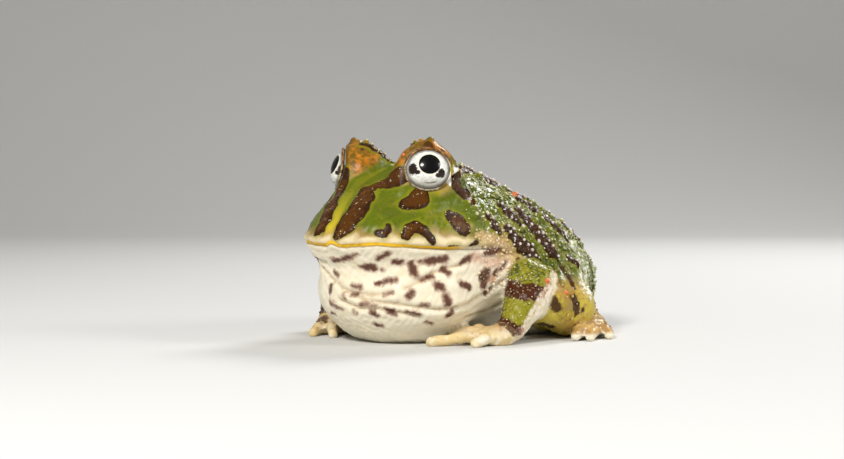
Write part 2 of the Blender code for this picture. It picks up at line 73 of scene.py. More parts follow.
# Head: its sizes, and the powers that round its skull and its jaw
MOUTH_Z = 16.5
WIDEST_Z = 17.4
HEAD_MIDDLE_Y = 2.0
HEAD_REACH = 25.8
HEAD_HALF_WIDTH = 16.1
HEAD_BACK = 15.0
HEAD_SQUARENESS = 2.4
HEAD_UP = 14.6
HEAD_DOWN = 9.5
HEAD_SCALE = 11.0
SKULL_POWERS = (1.62, 1.57, 1.6)
JAW_POWERS = (2.6, 1.6, 2.1)
NAPE_DROP = 2.0
NAPE = (-10.0, 8.0)
CHIN_INSET = 0.35
MOUTH_LIFT = 0.15
CORNER_DROP = 0.5
CORNERS = (10.0, 15.5)
NOSTRIL = (2.6, -17.2, 27.0)

# Eyes, lids, brows and horns, and how far the far eye looks ahead
EYE = (8.3, -9.6, 28.65)
EYE_RADIUS = 4.25
EYE_YAW = 47.0
EYE_RISE = 10.0
FAR_GAZE = 1.1
ORBIT_RADII = (5.25, 5.25, 5.1)
ORBIT_INSET = 0.8
LID_GAP = (3.55, 3.2)
LID_GAP_UP = 0.05
LID_FADE = (1.16, 1.0)
LID_SKIN = 3.5
BEHIND_EYE = 0.9
BROW_PLACE = (-1.6, 1.4, -3.3)
BROW_RADII = (4.6, 5.6, 4.4)
HORN_ROOT = (-0.6, 0.6, 2.5)
HORN_TIP = (0.6, 0.3, 5.45)
HORN_ROOT_RADIUS = 3.0
HORN_TIP_RADIUS = 0.55

# Body
CHEST = ((0, 1.0, 14.2), (15.4, 14.5, 12.5))
BACK = ((0, 13.0, 11.6), (18.4, 20.3, 13.9))
BACK_TILT = -14.0
RUMP = ((0, 23.0, 8.9), (16.5, 12.7, 11.2))
THROAT = ((0, -7.0, 9.0), (14.6, 13.6, 10.0))

# How softly each form flows into the ones before it
BLEND = {
    "back": 5.0, "rump": 3.0, "throat": 2.5, "neck": 2.2, "brow": 3.0, "orbit": 1.8, "horn": 1.6,
    "arm": 1.0, "forearm": 1.2, "elbow": 1.6, "hand": 1.4, "finger": 0.7, "knuckle": 0.5,
    "leg": 1.3, "thigh": 2.0, "knee": 0.8, "shank": 1.5, "heel": 0.8, "toe": 0.9, "stroke bend": 0.4, "strokes": 0.3,
}

# Arms, left first: the frog leans a little on its left hand. A middle is a share of the way and a lift
UPPER_ARM_RADII = (3.8, 3.0)
FOREARM_RADII = (2.9, 3.3, 2.4)
FOREARM_MIDDLE = (0.45, 0.2)
PALM_RADII = (2.9, 3.1, 1.85)
FINGER_RADII = (1.05, 0.9, 0.85)
UNDER_OUTWARDS = 0.5
ARMS = {
    1: {
        "shoulder": (12.0, 2.6, 12.8),
        "elbow": (18.6, 7.0, 9.9),
        "wrist": (18.4, 0.6, 2.8),
        "palm": (17.8, -2.4, 1.5),
        "fingers": (
            ((16.4, -1.8, 1.6), (13.7, -2.6, 2.2), (11.0, -3.5, 0.85)),
            ((16.4, -3.2, 1.5), (13.9, -4.7, 2.0), (11.5, -6.3, 0.85)),
            ((16.8, -4.2, 1.3), (14.4, -8.0, 1.4), (11.4, -12.0, 0.7)),
            ((17.9, -4.4, 1.3), (18.3, -6.6, 1.3), (18.2, -8.6, 0.7)),
        ),
    },
    -1: {
        "shoulder": (-11.6, 0.4, 12.8),
        "elbow": (-19.6, 0.2, 9.2),
        "wrist": (-18.2, -5.2, 2.8),
        "palm": (-16.6, -7.0, 1.5),
        "fingers": (
            ((-15.4, -5.6, 1.6), (-13.4, -4.6, 2.1), (-11.6, -3.6, 0.85)),
            ((-15.1, -7.0, 1.5), (-13.3, -7.1, 1.9), (-11.6, -7.1, 0.85)),
            ((-15.4, -8.4, 1.4), (-13.2, -10.4, 1.5), (-10.8, -12.6, 0.7)),
            ((-16.5, -9.2, 1.3), (-15.8, -11.2, 1.3), (-15.2, -13.0, 0.7)),
        ),
    },
}

# Hind legs, folded against the flanks, the same on both sides
THIGH_RADII = (7.2, 6.8, 4.6)
THIGH_MIDDLE = (0.5, 0.6)
SHANK_RADII = (4.2, 4.6, 2.5)
FOOT_RADII = (2.3, 1.9)
TOE_RADII = (1.15, 0.95, 0.8)
LEG = {
    "hip": (8.0, 23.5, 8.0),
    "knee": (18.4, 9.8, 7.0),
    "calf": (18.3, 15.8, 5.3),
    "heel": (14.3, 25.8, 2.8),
    "sole": (20.0, 22.0, 1.7),
    "toes": (
        ((19.7, 20.6, 1.3), (20.5, 17.6, 1.3), (21.2, 15.4, 0.8)),
        ((20.0, 20.2, 1.3), (21.4, 16.2, 1.4), (22.3, 13.0, 0.8)),
        ((20.3, 20.0, 1.3), (22.5, 15.4, 1.5), (23.8, 11.0, 0.8)),
        ((20.7, 20.4, 1.3), (23.8, 16.4, 1.4), (25.7, 12.7, 0.8)),
        ((20.9, 21.4, 1.3), (24.1, 19.4, 1.2), (26.1, 17.6, 0.7)),
    ),
}

# How far round its joints a limb is worked out, and the distance that stands for farther off
ARM_REACH = 7.5
LEG_REACH = 9.5
HAND_REACH = 3.0
FAR_OFF = 9.0

# Rough balls that the skin is drawn over: centre and radii, or the ends of a row and the radii there
HEAD_BALLS = (((0, -4, 20), (16, 20, 9)), ((0, 2, 15), (15, 15, 13)))
EYE_BALL = 4.8
HORN_BALLS = (2.4, 0.9)
ARM_BALLS = (("shoulder", "elbow", 4.2, 3.2), ("elbow", "wrist", 3.1, 2.2))
PALM_BALL = (2.7, 2.9, 1.7)
LEG_BALLS = (
    ("hip", "knee", 6.4, 4.4), ("knee", "calf", 3.9, 4.2), ("calf", "heel", 4.2, 2.4), ("heel", "sole", 2.1, 1.9),
)
DIGIT_BALLS = ((0, 1, 1.1, 1.0), (1, 2, 1.0, 1.0))
BALL_STEP = 0.7

# Skin: voxels of its two remeshes, its longest step as it settles, and where relief starts round an eye
FIRST_CELL = 0.9
SKIN_CELL = 0.335
LONGEST_STEP = 0.8
SMOOTH_ROUND_EYES = (4.8, 5.8)

# Relief across a line, in millimetres: height, place and width of each swelling or groove
MOUTH_BOWS = ((0.6, 0.0, 1.1), (0.4, 8.0, 3.5))
LIP_RELIEF = ((-0.38, 0.0, 0.24), (0.26, 0.8, 0.5), (0.16, -0.75, 0.45))
LIPS_FADE = (1.0, -4.0)
FOLD_RELIEF = ((-0.42, 0.0, 0.36), (0.14, 1.0, 0.6))
NOSTRIL_RELIEF = ((-0.8, 0.0, 0.42), (0.24, 0.85, 0.35))

# Relief of strokes: height, and the distances where it begins and is full
STROKE_RELIEF = {"ridge": (0.4, 0.7, -0.5), "brown": (0.12, 0.2, -0.8), "edge": (0.22, 0.3, -0.1)}

# Random lumps: size, seed and height
SKIN_LUMPS = ((1.1, 21, 0.05), (2.8, 22, 0.07))
WAVY_EDGES = ((3.2, 5, 0.10), (1.2, 6, 0.06))
RAGGED_EDGES = ((1.9, 9, 0.16), (0.9, 10, 0.10))
PALE_EDGES = ((4.0, 8, 0.5),)

# How far the wavy lumps push the edge of each marking
MARK_WAVES = {
    "brown": 1, "flecks": 1, "midline": 1, "lid": 1, "edge": 0, "spots": 2, "wrist": 2, "rusty": 3,
    "sandy": 4, "grains": 4, "pink": 4, "rear_sheen_grains": 4, "fold": 0,
}

# Height where green meets the pale throat, and its drops: by how much, from which y to which
PALE_HEIGHT = 18.4
PALE_DROPS = ((1.3, -12.0, -3.0), (13.6, 0.5, 14.0))

# Bands of the arm: lean, the place it is measured from, height and half width. Bars of the shank
ARM_BANDS = ((0.2, 16.2, 8.75, 1.4), (0.4, 13.4, 2.9, 1.3))
BARS_APART = 6.0
BAR_HALF = 0.9
BARS_FADE = (16.5, 14.5)

# Where skin turns rough, behind the head and above the belly, and how the brows and eye sockets fade
ROUGH_BEHIND = (-7.5, 1.0)
ROUGH_ABOVE = (6.5, 11.0)
SMOOTH_PATCHES_BEFORE = (-4.0, 0.0)
BROW_FADE = (6.6, 5.0)
BROW_SIDE = (0.4, 2.2)
SOCKET_FADE = (0.5, -2.5)
MARK_LIMIT = 3

# Rims of the lids: thickness and how much more on top, clearance of the gap, seat, sides and steps
LID_LIP = 0.17
LID_LIP_TOP = 0.10
RIM_WIDER = 0.30
RIM_SEAT = EYE_RADIUS + 0.22
RIM_RING = 6.0
RIM_SIDES = 14
RIM_STEPS = 96

# Camera, at the height and side of the photo, in millimetres and degrees
VIEW_SIDE = 42.0
VIEW_RISE = 2.0
VIEW_DISTANCE = 300.0
PIXEL = 0.174
PHOTO_WIDE = 844
PHOTO_HIGH = 459
AIM_HEIGHT = 18.7
AIM_LEFT = 6.0
SENSOR = 36.0

# Its rays: from how far before the aim to how far behind it they are followed, and in how many steps
RAY_REACH = (-45.0, 35.0)
RAY_STEPS = 80

# Points dropped on the skin from the plan: from what height and how finely. How far off a stroke is felt
DROP_FROM = 40.0
DROP_STEP = 0.25
STROKE_REACH = 4.0

# Strokes in pixels of the photo's frame: x, y and half width of each point, which a fold's points leave out
NOSE_STRIPES = (
    ((345, 172, 5), (344, 181, 5.5), (340, 190, 7), (334, 200, 8.5), (329, 210, 9), (325, 220, 9.5), (319, 230, 7)),
    ((322, 222, 3), (323, 231, 3)),
    ((365, 189, 5), (366, 192, 8.5), (363, 200, 12), (358, 209, 11.5), (352, 217, 11.5), (347, 224, 10.5)),
    ((347, 224, 10.5), (341, 231, 7.5), (337, 236, 4)),
    ((405, 171, 6), (399, 176, 10), (391, 180, 10.5), (382, 184, 8.5), (374, 187, 6.5), (368, 189, 5)),
)
CHEEK_SPOTS = (
    ((407, 204, 7.5), (414, 202, 9), (421, 200, 8.5)),
    ((452, 217, 7.5), (457, 221, 9.5), (463, 227, 9)),
    ((377, 233, 3.5), (384, 234, 4.2), (388, 230, 3.2), (388, 226, 2.6)),
    ((406, 236, 4.5), (410, 229, 5.5), (417, 226, 5.5), (424, 231, 5), (430, 237, 4), (432, 241, 3.8)),
    ((449, 246, 1.6), (457, 246, 1.6)),
    ((469, 245, 1.6), (476, 242, 2)),
    ((455, 183, 6), (460, 189, 8.5), (466, 195, 8), (471, 202, 4.5)),
)
BACK_RIDGES = (
    ((455, 172, 6), (463, 171, 6), (471, 173, 7), (480, 178, 7), (489, 183, 7), (497, 188, 5)),
    ((514, 199, 3.5), (523, 204, 5.5), (533, 210, 6), (543, 217, 6.5), (551, 225, 6.5), (559, 233, 5.5), (566, 241, 4)),
    ((499, 206, 4), (506, 212, 6.5), (513, 218, 6.5), (518, 224, 4.5)),
    ((515, 210, 4), (523, 218, 6.5), (531, 227, 8), (539, 236, 8.5), (547, 246, 8.5), (553, 255, 6)),
    ((506, 229, 4), (513, 238, 6), (521, 246, 7.5), (529, 252, 7.5), (536, 258, 5)),
    ((488, 217, 4), (493, 225, 5.5), (498, 232, 4)),
    ((568, 258, 4.5), (575, 264, 5)),
)
FLANK_SPOTS = (
    ((518, 261, 3),),
    ((583, 271, 2),),
    ((591, 258, 2),),
)
LEG_SPOTS = (
    ((554, 302, 5.5), (558, 308, 5)),
    ((574, 298, 4), (576, 305, 5.5), (577, 312, 4)),
    ((544, 325, 6), (550, 327, 4.5)),
    ((583, 310, 4),),
    ((577, 327, 4), (582, 333, 3)),
    ((584, 345, 3), (590, 347, 2)),
    ((545, 262, 2.5), (551, 271, 3.5), (558, 281, 2.5)),
    ((561, 266, 2.5), (568, 277, 3.5), (573, 287, 2.5)),
)
WRIST_SPOTS = (((498, 318, 4), (505, 323, 6.5), (513, 329, 7), (519, 333, 4)),)
FAR_HAND_SPOTS = (((317, 322, 3), (324, 318, 4.5), (331, 317, 4.5)),)
LID_MARKS = (
    ((405, 147, 2.5),),
    ((424, 147, 2), (428, 143, 3), (433, 148, 4)),
    ((437, 143, 1.5), (444, 151, 1.5)),
    ((404, 176, 2.5), (405, 166, 2)),
)
BROW_CREST = (((361, 145, 2.5), (367, 145.5, 3.5), (373, 150, 3.5), (380, 154.5, 3.5), (387, 160, 3), (393, 164, 2)),)
CHIN_FLECKS = (
    ((334, 260, 3), (341, 260, 2), (350, 257, 2.5), (357, 254, 2)),
    ((379, 258, 2.5), (387, 253, 3)),
    ((394, 262, 3), (401, 262, 3)),
    ((360, 266, 1.2), (367, 267, 3), (374, 268, 3.5)),
    ((382, 269, 1.5), (383, 270, 1.5)),
    ((411, 264, 3), (413, 270, 4), (416, 275, 3)),
    ((420, 262, 2), (430, 261, 3.5), (445, 259, 3)),
    ((443, 269, 3), (448, 273, 3)),
    ((462, 262, 2.5), (469, 258, 3.5)),
    ((335, 272, 2), (338, 275, 2)),
    ((377, 284, 2), (386, 281, 2.5), (396, 280, 2)),
    ((353, 286, 2), (360, 287, 2.5)),
    ((332, 285, 2), (330, 291, 2.5)),
    ((422, 280, 2), (431, 276, 2)),
    ((384, 295, 1.2), (392, 293, 1.2)),
    ((408, 296, 3), (412, 292, 2.5)),
    ((438, 286, 3), (443, 288, 3)),
    ((461, 284, 3), (469, 287, 3)),
    ((483, 284, 5), (484, 276, 5.5), (486, 272, 4)),
    ((446, 297, 4), (447, 302, 4)),
    ((422, 305, 1.5), (427, 305, 1.5)),
    ((344, 294, 1.8), (346, 299, 1.8)),
    ((351, 294, 1.5), (357, 295, 1.5)),
    ((362, 304, 2), (368, 304, 1.5), (375, 305, 1.5)),
    ((330, 303, 2), (336, 306, 1.5), (342, 309, 1)),
    ((372, 312, 2.5), (377, 315, 2)),
    ((385, 309, 1.2), (392, 312, 2.5), (396, 315, 1)),
    ((405, 311, 1.2), (413, 313, 1.8), (420, 315, 1.2)),
    ((375, 324, 2), (382, 326, 1.5)),
    ((447, 315, 2), (452, 312, 2)),
    ((354, 311, 1.5), (357, 313, 1.2)),
    ((332, 312, 1.5), (335, 314, 1.2)),
    ((426, 322, 1.5), (433, 324, 1.2)),
    ((485, 254, 2.5), (491, 252, 4), (498, 250, 2.5)),
    ((494, 273, 1.8), (500, 269, 2)),
    ((506, 262, 2), (504, 266, 2)),
    ((485, 293, 1.5), (492, 289, 1.2)),
)
FOLD_LINES = (
    ((313, 252), (317, 258), (326, 262)),
    ((315, 262), (324, 269), (333, 280), (342, 288), (356, 293), (372, 295), (392, 293)),
    ((345, 291), (362, 299), (380, 302), (398, 304), (418, 308), (440, 310), (455, 308)),
    ((455, 308), (470, 303), (485, 293), (500, 283), (515, 272), (524, 265)),
    ((405, 289), (420, 281), (433, 273), (447, 268), (462, 265)),
    ((340, 300), (358, 308), (380, 309), (400, 313), (420, 317)),
    ((500, 251), (515, 253), (528, 257)),
    ((466, 318), (485, 312), (500, 304)),
    ((548, 258), (556, 272), (563, 286), (572, 298)),
    ((556, 258), (565, 272), (572, 286)),
)
MIDLINE = (
    ((384, 169, 2.5), (373, 175, 4), (362, 181, 5.5), (353, 188, 7), (346, 198, 6.5), (340, 208, 7), (335, 219, 5.5)),
    ((335, 219, 5.5), (330, 229, 6), (328, 236, 5)),
)
# Painted highlight along the raised rear edge of the upper lid
LIT_LID_EDGE = (
    (
        (437, 143, 0.3), (443.5, 149, 0.4), (448, 156, 0.5), (451.5, 164, 0.7), (453, 171, 0.9), (452.5, 178, 1.2),
        (450.5, 185, 1.3),
    ),
)
SANDY_SKIN = (
    ((480, 236, 5), (491, 242, 8), (503, 249, 10), (515, 256, 9), (524, 262, 5)),
    ((472, 226, 3), (481, 233, 4)),
)
# Grains behind the eyes and on the back, whitened as painted glints
GLINTING_GRAINS = (
    ((468, 186, 6), (478, 194, 9), (486, 207, 10), (491, 221, 11), (495, 236, 9)),
    ((540, 214, 4), (556, 226, 6), (570, 240, 8)),
)
PINK_SKIN = (
    ((472, 255, 4), (486, 261, 4), (500, 261, 5), (512, 259, 4), (522, 263, 3)),
    ((440, 190, 2), (448, 188, 2)),
)
# Rump and hip over the thigh, painted pale: partly pale grains, partly a painted highlight
REAR_SHEEN_GRAINS = (
    ((563, 238, 5), (573, 246, 9), (580, 256, 13), (584, 268, 15), (586, 280, 13), (587, 290, 7)),
    ((588, 250, 9), (593, 262, 13), (595, 277, 13), (594, 289, 7)),
)
RUSTY_SKIN = (((519, 262, 2.5), (509, 268, 2.5), (498, 275, 2.5), (490, 281, 1.5)), ((330, 302, 1.2), (337, 301, 1.2)))

# Warts in pixels, and the millimetres of their radius
CREST_WARTS = (
    (454, 170, 0.75), (460, 168, 0.85), (467, 170, 0.8), (472, 173, 0.6), (479, 177, 0.85), (485, 180, 0.7),
    (491, 184, 0.8), (497, 188, 0.7), (361, 144, 0.5), (366, 143, 0.6), (371, 147, 0.6), (377, 152, 0.6),
    (383, 156, 0.55), (389, 161, 0.5), (524, 200, 0.7), (533, 205, 0.65), (541, 211, 0.7), (549, 218, 0.75),
    (557, 226, 0.7), (564, 234, 0.65), (573, 243, 0.6), (580, 252, 0.6),
)
ORANGE_WARTS = ((516, 192, 0.75), (547, 281, 0.5), (566, 293, 0.42), (404, 155, 0.32))

# Brown ridges of the part of the back that the photo doesn't show, on the plan: x, y and half width
PLAN_RIDGES = (
    ((1.9, 3.4, 0.7), (2.7, 6.4, 1.2), (2.5, 9.2, 0.9)),
    ((5.8, 4.4, 0.9), (6.4, 7.4, 1.3), (6.0, 10.4, 1.0)),
    ((2.2, 12.0, 0.9), (3.0, 15.0, 1.4), (2.7, 18.2, 1.0)),
    ((6.6, 13.2, 0.8), (7.0, 16.0, 1.1), (6.5, 18.6, 0.8)),
    ((3.2, 21.5, 1.1), (3.8, 24.5, 1.5), (3.4, 27.2, 0.9)),
    ((7.8, 22.2, 1.1), (7.8, 25.2, 1.4), (7.2, 28.0, 0.8)),
    ((0.0, 28.6, 1.0), (0.3, 31.2, 1.2)),
    ((11.5, 23.6, 1.2), (10.9, 27.0, 1.3)),
    ((4.6, 30.6, 1.0), (4.2, 32.6, 0.9)),
    ((0.0, -1.6, 0.7), (0.2, 0.6, 0.8)),
)

# Warts: base radius and height of each named size
WARTS = {"small": (0.55, 0.55), "middle": (0.75, 0.8), "large": (0.95, 1.15)}
FINE_WARTS = ((0.20, 0.20), (0.27, 0.28), (0.36, 0.40))
RIDGE_WARTS = ((0.52, 0.65), (0.68, 0.95), (0.58, 1.1))

# Profiles of a wart and a granule, as radii and heights, and how pointed the warts of the crests are
CONE = ((0.0, -0.15), (1.5, -0.12), (1.1, 0.08), (0.72, 0.42), (0.38, 0.82), (0.0, 1.0))
BEAD = ((0.0, -0.2), (1.25, -0.1), (0.85, 0.5), (0.45, 0.9), (0.0, 1.0))
CREST_POINT = 1.35
ORANGE_POINT = 1.4

# The two rows of warts along the back
WART_SEED = 7
ROW_WARTS = 9
ROW_START = (6.6, 2.0)
ROW_BOW = (0.35, 0.03)
ROW_STEP = 3.1

# Drifts of warts: how many, between which x and which y, of which sizes and how far apart
WART_DRIFTS = (
    (70, (-17.5, 17.5), (3.5, 31.0), ("small", "middle", "middle", "large"), 2.2),
    (14, (-8.0, 8.0), (-9.0, 0.5), ("small",), 1.8),
    (12, (9.0, 14.5), (-5.0, 1.0), ("small", "middle"), 1.7),
    (12, (-14.5, -9.0), (-5.0, 1.0), ("small", "middle"), 1.7),
)
MOST_TRIES = 4000
LOWEST_WART = 5.0

# Warts of the brown ridges, and the granules
WART_STEP = 1.0
DOUBLE_ROW = 0.55
GRANULE_SHARE = 0.08
LOWEST_GRANULE = 2.0
FINE_APART = 0.58
THIN_CELL = 2.0
LOT_POINTS = 2000

# Colours, as linear light
GREEN_DEEP = (0.052, 0.070, 0.002)
GREEN = (0.110, 0.142, 0.005)
GREEN_YELLOW = (0.28, 0.27, 0.010)
YELLOW = (0.64, 0.48, 0.03)
BROWN_DARK = (0.026, 0.0085, 0.0016)
BROWN = (0.088, 0.030, 0.003)
BROWN_RED = (0.046, 0.013, 0.003)
OLIVE = (0.15, 0.085, 0.006)
BACK_OLIVE = (0.085, 0.048, 0.005)
ORANGE = (0.62, 0.15, 0.010)
BROW = (0.52, 0.19, 0.015)
OCHRE = (0.30, 0.14, 0.03)
GREY_GREEN = (0.36, 0.34, 0.12)
TAN = (0.46, 0.27, 0.10)
SAND = (0.60, 0.42, 0.19)
CREAM = (0.86, 0.79, 0.62)
CREAM_WARM = (0.74, 0.57, 0.28)
FLECK = (0.085, 0.028, 0.014)
FLECK_PALE = (0.26, 0.12, 0.08)
GOLD = (0.90, 0.55, 0.03)
PINK = (0.60, 0.32, 0.22)
RUST = (0.42, 0.16, 0.05)
WART_ORANGE = (0.66, 0.17, 0.05)
ARM_GREEN = (0.26, 0.24, 0.015)
ARM_BROWN = (0.070, 0.018, 0.005)
THIGH_GREEN = (0.56, 0.44, 0.06)
THIGH_TAN = (0.56, 0.36, 0.12)
THIGH_DARK = (0.20, 0.13, 0.010)
THIGH_BROWN = (0.42, 0.22, 0.05)
# Pale of the grains, also the colour of painted glints
GRAIN_AND_GLINT_PALE = (0.70, 0.64, 0.40)
PALE_GREEN = (0.56, 0.60, 0.34)
FOOT_BROWN = (0.36, 0.17, 0.05)
PALE_TIP_AND_GLINT = (0.84, 0.75, 0.70)
LID_PALE_SHEEN = (0.78, 0.66, 0.58)
LID_SHADE_GREY = (0.34, 0.29, 0.22)
WHITE = (0.90, 0.90, 0.85)
GREY = (0.07, 0.055, 0.04)
IRIS_WHITE = (0.92, 0.92, 0.89)
IRIS_GREY = (0.62, 0.62, 0.58)
IRIS_SHADE = (0.34, 0.32, 0.25)
IRIS_CREAM = (0.85, 0.80, 0.62)
IRIS_BROWN = (0.022, 0.013, 0.009)
PUPIL_BLACK = (0.002, 0.002, 0.002)
FLOOR_PALE = (0.68, 0.68, 0.67)
STUDIO_LIGHT = (1.0, 0.98, 0.94)
STUDIO_STRENGTH = 0.30

# Ovals of the iris: middle, half width and half height
PUPIL = ((0.15, 0.72), 1.80, 1.68)
IRIS_PATCHES = (
    ((-2.6, 0.0), 0.78, 1.08), ((-1.9, -0.6), 0.55, 0.4), ((2.15, -0.75), 0.66, 0.85), ((1.6, -1.15), 0.6, 0.42),
)
IRIS_ARC = ((0.0, 0.4), 3.0, 2.75)
IRIS_ARC_REACH = ((0.4, -2.3), 1.5, 0.8)

# Studio in metres: the floor's ends, its bend and its top, and how high the lights aim
FLOOR_FRONT = -0.9
FLOOR_BACK = 0.45
FLOOR_BEND = 0.3
FLOOR_STEPS = 12
FLOOR_TOP = 1.6
FLOOR_WIDE = 3.6
LIGHT_AIM = 0.015

# Lights: degrees round and up, distance and size in metres, watts and colour
LIGHTS = {
    "key": (18, 34, 0.45, 0.10, 1.6, (1.0, 0.985, 0.95)),
    "fill": (112, 28, 0.6, 0.2, 1.2, (1.0, 0.99, 0.97)),
    "rim": (185, 45, 0.5, 0.16, 1.5, (1.0, 1.0, 1.0)),
}


def smooth_min(a, b, k):
    """The lesser of two distances, with a fillet of about size k where they meet."""
    h = np.clip(0.5 + 0.5 * (b - a) / k, 0.0, 1.0)
    return b * (1 - h) + a * h - k * h * (1 - h)


def rise(a, b, x):
    """0 at a and 1 at b, soft at both ends. A may be the larger."""
    t = np.clip((x - a) / (b - a), 0.0, 1.0)
    return t * t * (3 - 2 * t)


def waves(x, kinds, base=0.0):
    """Swellings and grooves across a line: the height, place and width of each kind, added to a base."""
    for high, at, wide in kinds:
        base = base + high * np.exp(-(((x - at) / wide) ** 2))
    return base


def grain(p, size, seed):
    """Soft random lumps of one size, from sums of turned waves."""
    draw = random.Random(seed)
    out = np.zeros(len(p))
    for _ in range(9):
        way = np.array([draw.gauss(0, 1) for _ in range(3)])
        way = way / np.linalg.norm(way) * (2 * math.pi / (size * draw.uniform(0.75, 1.35)))
        out += np.sin(p @ way + draw.uniform(0, 6.28))
    return out / 3.0


def lumps(p, kinds, base=0.0):
    """Random lumps of several kinds, given as size, seed and height, added to a base."""
    for size, seed, high in kinds:
        base = base + grain(p, size, seed) * high
    return base


def ellipsoid(p, centre, radii, pitch=0.0):
    q = p - np.asarray(centre, float)
    c = math.cos(math.radians(pitch))
    s = math.sin(math.radians(pitch))
    x, y, z = q[:, 0], q[:, 1], q[:, 2]
    q = np.stack([x, c * y + s * z, -s * y + c * z], 1)
    r = np.asarray(radii, float)
    k0 = np.linalg.norm(q / r, axis=1)
    k1 = np.linalg.norm(q / r**2, axis=1) + 1e-9
    return k0 * (k0 - 1.0) / k1


def limb(p, a, b, ra, rb):
    a = np.asarray(a, float)
    d = np.asarray(b, float) - a
    t = np.clip((p - a) @ d / max(d @ d, 1e-9), 0.0, 1.0)
    return np.linalg.norm(p - a - t[:, None] * d, axis=1) - (ra + (rb - ra) * t)


def chain(p, points, radii, k):
    out = limb(p, points[0], points[1], radii[0], radii[1])
    for i in range(1, len(points) - 1):
        out = smooth_min(out, limb(p, points[i], points[i + 1], radii[i], radii[i + 1]), k)
    return out


def mirrored(point, side):
    return np.array((point[0] * side, point[1], point[2]), float)


def optical_axis(side):
    a = math.radians(EYE_YAW)
    e = math.radians(EYE_RISE)
    return np.array([side * math.sin(a) * math.cos(e), -math.cos(a) * math.cos(e), math.sin(e)])


def rounded(level, upright, powers):
    """1 on the edge of a form whose two ways are as round as their powers say."""
    return (level ** powers[0] + upright ** powers[1]) ** (1 / powers[2])


def head(p):
    """Wedge of the skull, lower towards the nape, over the lip line and the shallower jaw under it."""
    grow = -CHIN_INSET * (1 - rise(MOUTH_Z - 0.5, MOUTH_Z + 0.5, p[:, 2]))
    forward = (HEAD_MIDDLE_Y - p[:, 1]) / (HEAD_REACH + grow)
    u = np.where(forward > 0, forward, (p[:, 1] - HEAD_MIDDLE_Y) / HEAD_BACK)
    v = np.abs(p[:, 0]) / (HEAD_HALF_WIDTH + grow)
    n = HEAD_SQUARENESS
    rho = (np.abs(u) ** n + v**n) ** (1 / n)
    high = HEAD_UP - NAPE_DROP * rise(*NAPE, p[:, 1])
    up = np.clip((p[:, 2] - WIDEST_Z) / high, 0, None)
    down = np.clip((WIDEST_Z - p[:, 2]) / HEAD_DOWN, 0, None)
    edge = np.where(p[:, 2] > WIDEST_Z, rounded(rho, up, SKULL_POWERS), rounded(rho, down, JAW_POWERS))
    return (edge - 1.0) * HEAD_SCALE


def trunk(p):
    d = ellipsoid(p, *CHEST)
    d = smooth_min(d, ellipsoid(p, *BACK, pitch=BACK_TILT), BLEND["back"])
    d = smooth_min(d, ellipsoid(p, *RUMP), BLEND["rump"])
    return smooth_min(d, ellipsoid(p, *THROAT), BLEND["throat"])


def with_orbits(p, d):
    for side in SIDES:
        c = mirrored(EYE, side)
        d = smooth_min(d, ellipsoid(p, c + mirrored(BROW_PLACE, side), BROW_RADII), BLEND["brow"])
        d = smooth_min(d, ellipsoid(p, c - optical_axis(side) * ORBIT_INSET, ORBIT_RADII), BLEND["orbit"])
        root = c + mirrored(HORN_ROOT, side)
        tip = c + mirrored(HORN_TIP, side)
        d = smooth_min(d, limb(p, root, tip, HORN_ROOT_RADIUS, HORN_TIP_RADIUS), BLEND["horn"])
    return d


def part_way(a, b, share, lift):
    """Point between two joints, lifted a little."""
    a, b = np.array(a, float), np.array(b, float)
    return a + (b - a) * share + np.array([0, 0, lift])


def hand_form(p, side):
    arm = ARMS[side]
    hand = ellipsoid(p, arm["palm"], PALM_RADII)
    for finger in arm["fingers"]:
        hand = smooth_min(hand, chain(p, finger, FINGER_RADII, BLEND["knuckle"]), BLEND["finger"])
    return hand


def arm_form(p, side):
    arm = ARMS[side]
    d = limb(p, arm["shoulder"], arm["elbow"], *UPPER_ARM_RADII)
    middle = part_way(arm["elbow"], arm["wrist"], *FOREARM_MIDDLE)
    fore = chain(p, (arm["elbow"], middle, arm["wrist"]), FOREARM_RADII, BLEND["forearm"])
    d = smooth_min(d, fore, BLEND["elbow"])
    return smooth_min(d, hand_form(p, side), BLEND["hand"])


def foot_form(q):
    foot = limb(q, LEG["heel"], LEG["sole"], *FOOT_RADII)
    for toe in LEG["toes"]:
        foot = smooth_min(foot, chain(q, toe, TOE_RADII, BLEND["knuckle"]), BLEND["toe"])
    return foot


def leg_form(p, side):
    q = p * np.array([side, 1, 1])
    middle = part_way(LEG["hip"], LEG["knee"], *THIGH_MIDDLE)
    d = chain(q, (LEG["hip"], middle, LEG["knee"]), THIGH_RADII, BLEND["thigh"])
    d = smooth_min(d, chain(q, (LEG["knee"], LEG["calf"], LEG["heel"]), SHANK_RADII, BLEND["shank"]), BLEND["knee"])
    return smooth_min(d, foot_form(q), BLEND["heel"])


def near(p, points, reach, form):
    """The form where it can matter, a plain large distance elsewhere."""
    points = np.array(points, float)
    inside = np.all((p > points.min(0) - reach) & (p < points.max(0) + reach), axis=1)
    out = np.full(len(p), FAR_OFF)
    if inside.any():
        out[inside] = form(p[inside])
    return out


def arm_points(side):
    arm = ARMS[side]
    return [arm["shoulder"], arm["elbow"], arm["wrist"], arm["palm"]] + [q for f in arm["fingers"] for q in f]


def leg_points(side):
    points = [LEG["hip"], LEG["knee"], LEG["calf"], LEG["heel"], LEG["sole"]]
    points += [q for toe in LEG["toes"] for q in toe]
    return [mirrored(q, side) for q in points]


def body_form(p):
    return with_orbits(p, smooth_min(head(p), trunk(p), BLEND["neck"]))


def arms(p, side):
    return near(p, arm_points(side), ARM_REACH, lambda q: arm_form(q, side))


def legs(p, side):
    return near(p, leg_points(side), LEG_REACH, lambda q: leg_form(q, side))


